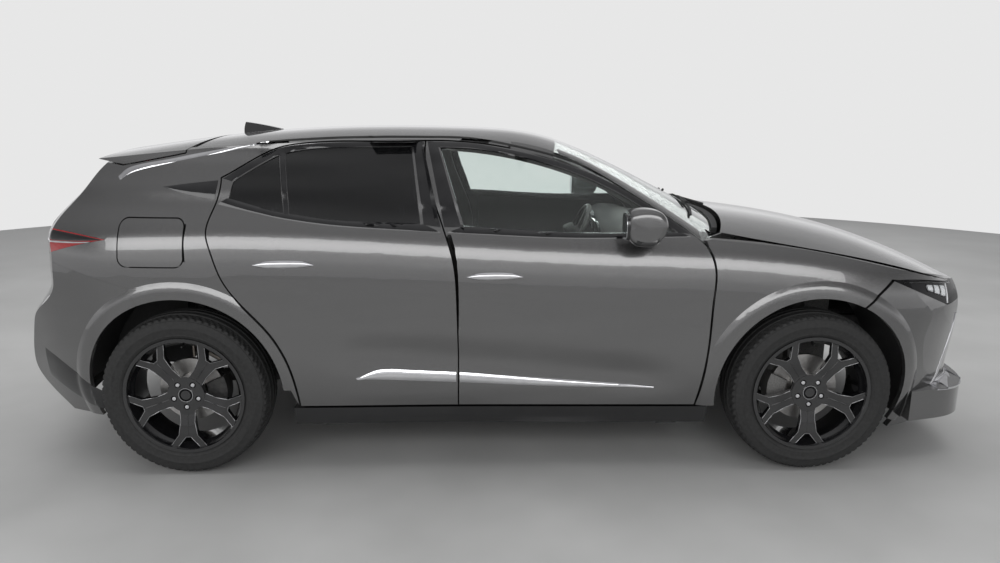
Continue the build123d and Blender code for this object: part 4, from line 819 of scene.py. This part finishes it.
# %% [markdown]
# ## Splash panels, screen pillars and wipers
# Dark plastic closes the front wheel arches ahead of the tyres, so no daylight shows under the hood. Wipers
# rest along the base of the screen, and a painted cover lies along each side of it. The wipers are tubes
# that follow points cast down on to the glass.

# %% Splash panels ahead of the front wheels
SPLASH_RADIUS, SPLASH_WALL = 456.0, 4.0
SPLASH_X, SPLASH_Z = 1295.0, 362.0
SPLASH_ROWS, SPLASH_COLUMNS = 9, 22
splash = [[], []]
for r in range(SPLASH_ROWS):
    y = -828 + r * 44
    for c in range(SPLASH_COLUMNS):
        angle = math.radians(-18 + c * 3.2)
        for layer in range(2):
            reach = SPLASH_RADIUS + SPLASH_WALL * layer
            splash[layer].append(Vector(((SPLASH_X + reach * math.cos(angle)) * MM, y * MM,
                                         (SPLASH_Z + reach * math.sin(angle)) * MM)))
both_sides("splash_panel", closed_grid(*splash, SPLASH_ROWS, SPLASH_COLUMNS), PLASTIC, "body")
print("splash panels fitted")

# %% Screen pillars and wipers
SCREEN_SKIN = panel_tree("windscreen")
PILLAR_OUTER = [(215, -601), (314, -621), (432, -663), (568, -713), (668, -745), (759, -783), (800, -804)]
PILLAR_INNER = [(215, -500), (314, -520), (432, -558), (568, -606), (668, -640), (759, -680), (812, -704)]
both_sides("screen_pillar", strip(SCREEN_SKIN, PILLAR_OUTER, PILLAR_INNER, 2.4, 50, 7, "-z"), PAINT, "body")


def on_screen(x, y, lift):
    """A point over the windscreen."""
    point, normal = cast(SCREEN_SKIN, x, y, "-z")
    return point + normal * lift * MM


def wiper(x, y_near, y_far, slope):
    """A wiper's blade, and its arm from the cowl to the blade's middle."""
    ys = [y_near + (y_far - y_near) * i / 24 for i in range(25)]
    line = [on_screen(x - slope * i / 24 - 26 * (2 * i / 24 - 1) ** 2, y, 7) for i, y in enumerate(ys)]
    arm = [on_screen(x - slope * i / 24 - 10, ys[i], 7 + 9 * (1 - abs(i / 12 - 1) ** 2)) for i in range(14)]
    start = Vector((1018 * MM, y_near * MM, on_screen(930, y_near, 0).z - 0.002))
    return joined(tube(line, 0.006, 8), tube([start, *arm], 0.007, 8))


piece("wiper_right", *wiper(880, -60, -560, 40), PLASTIC, "body", 60)
piece("wiper_left", *wiper(884, 560, -20, 46), PLASTIC, "body", 60)
gate_line = []
for i in range(15):
    point, normal = cast(GATE_SKIN, -150 + 22 * i, 1110 + 4 * i, "+x")
    gate_line.append(point + normal * 8 * MM)
gate_pivot = tube([gate_line[0] - Vector((0, 0, 0.012)), gate_line[2]], 0.011, 10)
piece("rear_wiper", *joined(tube(gate_line, 0.006, 8), gate_pivot), PLASTIC, "tailgate", 60)
print("wipers fitted")

# %% [markdown]
# ## Cabin linings
# Through the glass one sees the roof lining, the door cards and the dashboard's screen. The linings are thin
# sheets that follow the metal behind them, so they use the same casting as the trim, from the inside. An arm
# rest is the same strip with a much higher crown.

# %% Roof lining and door cards
ROOF_SKIN = panel_tree("roof")
ROOF_WALL = 30.0
lining = [[], []]
LINING_ROWS, LINING_COLUMNS = 20, 24
for r in range(LINING_ROWS):
    for c in range(LINING_COLUMNS):
        x = -1250 + 1390 * r / (LINING_ROWS - 1)
        y = (-500 + 1000 * c / (LINING_COLUMNS - 1)) * (1 - 0.06 * abs(r / 9.5 - 1))
        point, _ = cast(ROOF_SKIN, x, y, "-z")
        for layer, drop in ((0, 1.0), (1, 5.0)):
            lining[layer].append(point - Vector((0, 0, (ROOF_WALL + drop) * MM)))
piece("roof_lining", *closed_grid(lining[1], lining[0], LINING_ROWS, LINING_COLUMNS), HEADLINER, "body")
FRONT_CARD = strip(FRONT_DOOR_SKIN, [(-150, 1030), (300, 1008), (640, 1000)],
                   [(-150, 360), (300, 352), (690, 360)], 9.0, 30, 16, "-y")
REAR_CARD = strip(REAR_DOOR_SKIN, [(-1080, 1080), (-700, 1062), (-330, 1042)],
                  [(-840, 400), (-600, 360), (-300, 360)], 9.0, 30, 16, "-y")
FRONT_REST = strip(FRONT_DOOR_SKIN, [(-120, 742), (250, 724), (560, 700)],
                   [(-120, 664), (250, 648), (560, 636)], 52.0, 30, 9, "-y")
REAR_REST = strip(REAR_DOOR_SKIN, [(-900, 780), (-650, 752), (-340, 736)],
                  [(-860, 704), (-650, 678), (-340, 664)], 48.0, 30, 9, "-y")
for name, shape, material, body in (("front_card", FRONT_CARD, SOFT_TRIM, "front_door_{}"),
                                    ("rear_card", REAR_CARD, SOFT_TRIM, "rear_door_{}"),
                                    ("front_arm_rest", FRONT_REST, LEATHER, "front_door_{}"),
                                    ("rear_arm_rest", REAR_REST, LEATHER, "rear_door_{}")):
    both_sides(name, shape, material, body, 50)
print("linings fitted")


# %% Screens, vents and the gear knob
def rounded_slab(width, height, depth, corner=0.3):
    """A soft-edged slab about its middle: loops of a rounded rectangle, in metres, thin along X."""
    loops = []
    for x, share in ((-0.5, 0.90), (-0.38, 0.985), (-0.2, 1.0), (0.2, 1.0), (0.38, 0.985), (0.5, 0.90)):
        loop = []
        for k in range(32):
            angle = 2 * math.pi * (k + 0.5) / 32
            c, s = math.cos(angle), math.sin(angle)
            loop.append(Vector((x * depth, 0.5 * width * share * math.copysign(abs(c) ** corner, c),
                                0.5 * height * share * math.copysign(abs(s) ** corner, s))))
        loops.append(loop)
    return lofted(loops)


def placed(shape, x, y, z, tilt=0.0):
    """Move a slab to a point and lean it back by a tilt in degrees."""
    lean = Matrix.Translation((x, y, z)) @ Matrix.Rotation(math.radians(tilt), 4, "Y")
    return [lean @ Vector(p) for p in shape[0]], shape[1]


for name, shape, material in (
    ("centre_screen", placed(rounded_slab(0.27, 0.12, 0.016), 0.478, 0, 0.935, -14), SCREEN),
    ("driver_screen", placed(rounded_slab(0.24, 0.09, 0.03), 0.498, 0.37, 0.955, -12), SCREEN),
    ("vent_right", placed(rounded_slab(0.13, 0.06, 0.02), 0.489, -0.54, 0.88, -6), SATIN_METAL),
    ("vent_left", placed(rounded_slab(0.13, 0.06, 0.02), 0.489, 0.585, 0.88, -6), SATIN_METAL),
    ("gear_knob", placed(rounded_slab(0.055, 0.075, 0.08, 0.7), 0.17, 0, 0.556), LEATHER),
    ("wheel_pad", placed(rounded_slab(0.14, 0.12, 0.06, 0.6), 0.392, 0.37, 0.858, -25), SOFT_TRIM),
):
    piece(name, *shape, material, "body", 40)
print("dashboard dressed")

# %% [markdown]
# ## Seats
# A seat pad is foam under a tight leather cover: crowned between its seams, drawn in at its corners, with
# higher bolsters at the sides. A subdivided box would look like soap, so each pad is lofted a little small,
# given an even mesh, and inflated by a cloth simulation with pressure and no gravity. Its movement is
# capped, so it keeps to its own space. The piping is laid on afterwards, because remeshing would erase it.

# %% Loft and inflate a pad
PAD_LEVELS = (-1.0, -0.97, -0.9, -0.78, -0.6, -0.3, 0.0, 0.3, 0.6, 0.78, 0.9, 0.97, 1.0)


def pad_shape(outline, half, bolster=0.0, facing=(0.0, 1.0)):
    """A pad lofted across the car; the bolster lifts the side that faces the sitter, near both ends."""
    ring = loop_through(outline, 48)
    mid = [sum(p[k] for p in ring) / len(ring) for k in range(2)]
    loops = []
    for level in PAD_LEVELS:
        share = 1 - 0.22 * abs(level) ** 14 - 0.04 * abs(level) ** 4
        lift = bolster * max(0.0, 1 - (abs(abs(level) - 0.82) / 0.3) ** 2)
        loop = []
        for x, z in ring:
            out = (x - mid[0]) * facing[0] + (z - mid[1]) * facing[1]
            extra = lift if out > 0 else 0.0
            loop.append(Vector(((mid[0] + (x - mid[0]) * share + facing[0] * extra) * MM, level * half * MM,
                                (mid[1] + (z - mid[1]) * share + facing[1] * extra) * MM)))
        loops.append(loop)
    return lofted(loops)


def settled_mesh(pad):
    """The pad's mesh as its modifiers leave it."""
    return bpy.data.meshes.new_from_object(pad.evaluated_get(bpy.context.evaluated_depsgraph_get()))


def inflate(pad, voxel, cap):
    """Even out the mesh, blow it up as cloth under pressure, and keep every point within the cap."""
    even = pad.modifiers.new("even_mesh", "REMESH")
    even.mode = "VOXEL"
    even.voxel_size = voxel * MM
    mesh = settled_mesh(pad)
    pad.modifiers.clear()
    pad.data = mesh
    start = [v.co.copy() for v in mesh.vertices]
    cloth = pad.modifiers.new("stuffing", "CLOTH")
    cloth.settings.quality = 4
    cloth.settings.use_pressure = True
    cloth.settings.uniform_pressure_force = 4.0
    cloth.settings.effector_weights.gravity = 0.0
    for step in range(1, 21):
        bpy.context.scene.frame_set(step)
    swollen = settled_mesh(pad)
    pad.modifiers.clear()
    for vertex, origin in zip(swollen.vertices, start):
        moved = vertex.co - origin
        if moved.length > cap * MM:
            vertex.co = origin + moved.normalized() * cap * MM
    pad.data = swollen
    bpy.context.scene.frame_set(1)


def cushion(name, shape, voxel=12.0, cap=24.0):
    """One padded piece, inflated and smoothed once."""
    pad = piece(name, *shape, LEATHER, "body", 180)
    inflate(pad, voxel, cap)
    pad.data.shade_smooth()
    rounding = pad.modifiers.new("rounding", "SUBSURF")
    rounding.levels = rounding.render_levels = 1
    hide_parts("seats")
    return pad


def moved_copy(pad, name, offset):
    """The same pad again in another place."""
    mesh = pad.data.copy()
    mesh.transform(Matrix.Translation((0, offset * MM, 0)))
    twin = bpy.data.objects.new(name, mesh)
    bpy.context.scene.collection.objects.link(twin)
    rounding = twin.modifiers.new("rounding", "SUBSURF")
    rounding.levels = rounding.render_levels = 1
    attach(twin, "body")
    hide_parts("seats")


# %% Front and rear pads
SEAT_Y = 370.0
CUSHION_HALF, BACK_HALF, REST_HALF, BENCH_HALF = 232, 230, 118, 515
CUSHION_LINE = [(-270, 358), (-288, 430), (-250, 462), (60, 482), (170, 492), (198, 466), (182, 380),
                (140, 358)]
BACK_LINE = [(-302, 455), (-215, 480), (-330, 780), (-430, 1020), (-468, 1062), (-525, 1052), (-468, 780),
             (-345, 480)]
REST_LINE = [(-488, 1122), (-466, 1180), (-490, 1246), (-552, 1250), (-568, 1190), (-552, 1122)]
seat_pads = [
    cushion("seat_cushion_right", pad_shape(CUSHION_LINE, CUSHION_HALF, 26, (0.0, 1.0))),
    cushion("seat_back_right", pad_shape(BACK_LINE, BACK_HALF, 30, (0.92, 0.39))),
    cushion("seat_rest_right", pad_shape(REST_LINE, REST_HALF)),
]
for pad in seat_pads:
    moved_copy(pad, pad.name.replace("right", "left"), SEAT_Y)
    pad.data.transform(Matrix.Translation((0, -SEAT_Y * MM, 0)))
BENCH_LINE = [(-1086, 400), (-1104, 462), (-900, 474), (-730, 486), (-672, 480), (-660, 440), (-690, 380),
              (-900, 386)]
BENCH_BACK_LINE = [(-1128, 505), (-1082, 512), (-1170, 760), (-1258, 990), (-1316, 992), (-1262, 760),
                   (-1210, 505)]
BENCH_REST_LINE = [(-1282, 1032), (-1262, 1098), (-1322, 1108), (-1340, 1036)]
cushion("bench_cushion", pad_shape(BENCH_LINE, BENCH_HALF, 10, (0.0, 1.0)), 15.0)
cushion("bench_back", pad_shape(BENCH_BACK_LINE, 510, 10, (0.92, 0.39)), 15.0)
bench_rest = cushion("bench_rest_middle", pad_shape(BENCH_REST_LINE, 100), 8.0, 16.0)
for name, offset in (("bench_rest_right", -330), ("bench_rest_left", 330)):
    moved_copy(bench_rest, name, offset)


# %% Piping, rails and posts
def piping(pad, outline, level, half, offset):
    """A seam bead that lies on a pad, round its outline at one level across."""
    tree = BVHTree.FromPolygons([v.co.copy() for v in pad.data.vertices],
                                [p.vertices[:] for p in pad.data.polygons])
    line = []
    for x, z in loop_through(outline, 60):
        found, normal, _, _ = tree.find_nearest(Vector((x * MM, (offset + level * half) * MM, z * MM)))
        line.append(found + normal * 0.6 * MM)
    return tube([*line, line[0], line[1]], 0.0026, 6)


seams = []
for side, offset in (("right", -SEAT_Y), ("left", SEAT_Y)):
    for name, outline, half in (("cushion", CUSHION_LINE, CUSHION_HALF), ("back", BACK_LINE, BACK_HALF),
                                ("rest", REST_LINE, REST_HALF)):
        pad = bpy.data.objects[f"seat_{name}_{side}"]
        for level in (-0.6, 0.6):
            seams.append(piping(pad, outline, level, half, offset))
for level in (-0.6, 0.0, 0.6):
    for name, outline in (("bench_cushion", BENCH_LINE), ("bench_back", BENCH_BACK_LINE)):
        seams.append(piping(bpy.data.objects[name], outline, level, BENCH_HALF, 0))
piece("seat_piping", *joined(*seams), SEAL, "body", 60)
rails, posts = [], []
for offset in (-SEAT_Y, SEAT_Y):
    for post in (-60, 60):
        y = (offset + post * 2.6) * MM
        rails.append(placed(rounded_slab(0.036, 0.11, 0.40, 0.2), -0.06, y, 0.2885))
        posts.append(tube([(-0.497, (offset + post) * MM, 1.03), (-0.515, (offset + post) * MM, 1.15)],
                          0.007, 10))
for y in (-0.33, 0.0, 0.33):
    for post in (-0.04, 0.04):
        posts.append(tube([(-1.285, y + post, 0.96), (-1.30, y + post, 1.06)], 0.006, 10))
piece("seat_rails", *joined(*rails), PLASTIC, "body", 40)
piece("rest_posts", *joined(*posts), CHROME, "body", 60)
print("seams", len(seams), "posts", len(posts))

# %% [markdown]
# ## Studio
# Glossy metallic paint is drawn by what it reflects. The surround has three tones: a plain pale one that the
# lens sees, a dimmer one that lights the car, and a banded one for reflections, bright just above the
# horizon and dark over it, which models the shoulder and keeps black trim black. The boxes over the car and
# beyond it only light it: mirrored at a flat angle in the roof they would burn out, so they are kept out of
# reflections.

# %% Floor
floor_mesh = bpy.data.meshes.new("studio_floor")
FLOOR_REACH, FLOOR_SIDES = 9.0, 96
floor_angles = [2 * math.pi * i / FLOOR_SIDES for i in range(FLOOR_SIDES)]
floor_rim = [(FLOOR_REACH * math.cos(angle), FLOOR_REACH * math.sin(angle), -0.0005) for angle in floor_angles]
floor_mesh.from_pydata(floor_rim, [], [tuple(range(FLOOR_SIDES))])
floor_mesh.materials.append(finish("pale_sealed_floor", (0.36, 0.36, 0.355), (0.43, 0.43, 0.425), 0.42,
                                   grain=1.5, spread=0.08, bump=0.04, bump_grain=60))
studio_floor = bpy.data.objects.new("studio_floor", floor_mesh)
bpy.context.scene.collection.objects.link(studio_floor)
studio_floor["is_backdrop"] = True
print("floor of", FLOOR_SIDES, "sides")

# %% Surround and lamps
world = bpy.data.worlds.new("studio_surround")
bpy.context.scene.world = world
world.use_nodes = True
sky = world.node_tree
sky_place = sky.nodes.new("ShaderNodeTexCoord")
sky_split = sky.nodes.new("ShaderNodeSeparateXYZ")
sky.links.new(sky_place.outputs["Generated"], sky_split.inputs["Vector"])
MIRRORED = ((0.0, 0.62), (0.07, 0.92), (0.20, 0.42), (0.45, 0.20), (1.0, 0.50))
mirrored_tone = sky.nodes.new("ShaderNodeValToRGB")
stops = mirrored_tone.color_ramp.elements
while len(stops) < len(MIRRORED):
    stops.new(0.5)
for stop, (height, tone) in zip(stops, MIRRORED):
    stop.position, stop.color = height, (tone, tone, tone * 1.01, 1)
sky.links.new(sky_split.outputs["Z"], mirrored_tone.inputs["Fac"])
mirrored = sky.nodes.new("ShaderNodeBackground")
sky.links.new(mirrored_tone.outputs["Color"], mirrored.inputs["Color"])
seen = sky.nodes["Background"]
seen.inputs["Color"].default_value = (0.80, 0.80, 0.80, 1)
lighting = sky.nodes.new("ShaderNodeBackground")
lighting.inputs["Color"].default_value = (0.97, 0.98, 1.0, 1)
lighting.inputs["Strength"].default_value = 0.42
rays = sky.nodes.new("ShaderNodeLightPath")
plain_view = sky.nodes.new("ShaderNodeMath")
plain_view.operation = "MAXIMUM"
sky.links.new(rays.outputs["Is Camera Ray"], plain_view.inputs[0])
sky.links.new(rays.outputs["Is Transmission Ray"], plain_view.inputs[1])
first_mix = sky.nodes.new("ShaderNodeMixShader")
sky.links.new(rays.outputs["Is Glossy Ray"], first_mix.inputs["Fac"])
sky.links.new(lighting.outputs["Background"], first_mix.inputs[1])
sky.links.new(mirrored.outputs["Background"], first_mix.inputs[2])
second_mix = sky.nodes.new("ShaderNodeMixShader")
sky.links.new(plain_view.outputs[0], second_mix.inputs["Fac"])
sky.links.new(first_mix.outputs["Shader"], second_mix.inputs[1])
sky.links.new(seen.outputs["Background"], second_mix.inputs[2])
sky.links.new(second_mix.outputs["Shader"], sky.nodes["World Output"].inputs["Surface"])


def soft_box(name, place, target, width, height, power, mirrored_too):
    """A large area lamp aimed at a point, kept out of reflections unless it is mirrored too."""
    data = bpy.data.lights.new(name, "AREA")
    data.shape = "RECTANGLE"
    data.size, data.size_y, data.energy = width, height, power
    lamp = bpy.data.objects.new(name, data)
    aim = (Vector(target) - Vector(place)).to_track_quat("-Z", "Y")
    lamp.matrix_world = Matrix.Translation(place) @ aim.to_matrix().to_4x4()
    lamp.visible_glossy = mirrored_too
    bpy.context.scene.collection.objects.link(lamp)
    return lamp


soft_box("overhead_box", (0, 0.4, 5.2), (0, 0, 0.8), 9.0, 5.0, 260, False)
soft_box("camera_side_box", (-1.0, -7.0, 3.8), (0, -0.5, 0.7), 15.0, 2.6, 330, True)
soft_box("far_side_box", (0.8, 7.0, 3.6), (0, 0.5, 0.8), 9.0, 2.6, 190, False)

# %% [markdown]
# ## Size
# The trim must not make the car larger than the frame, so the box round the car is measured before and after,
# and its growth is printed.

# %% Print the growth of the box
low_after, high_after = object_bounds()
size_before = [high_before[k] - low_before[k] for k in range(3)]
size_after = [high_after[k] - low_after[k] for k in range(3)]
print("grown by", [round(after - before, 4) for before, after in zip(size_before, size_after)])
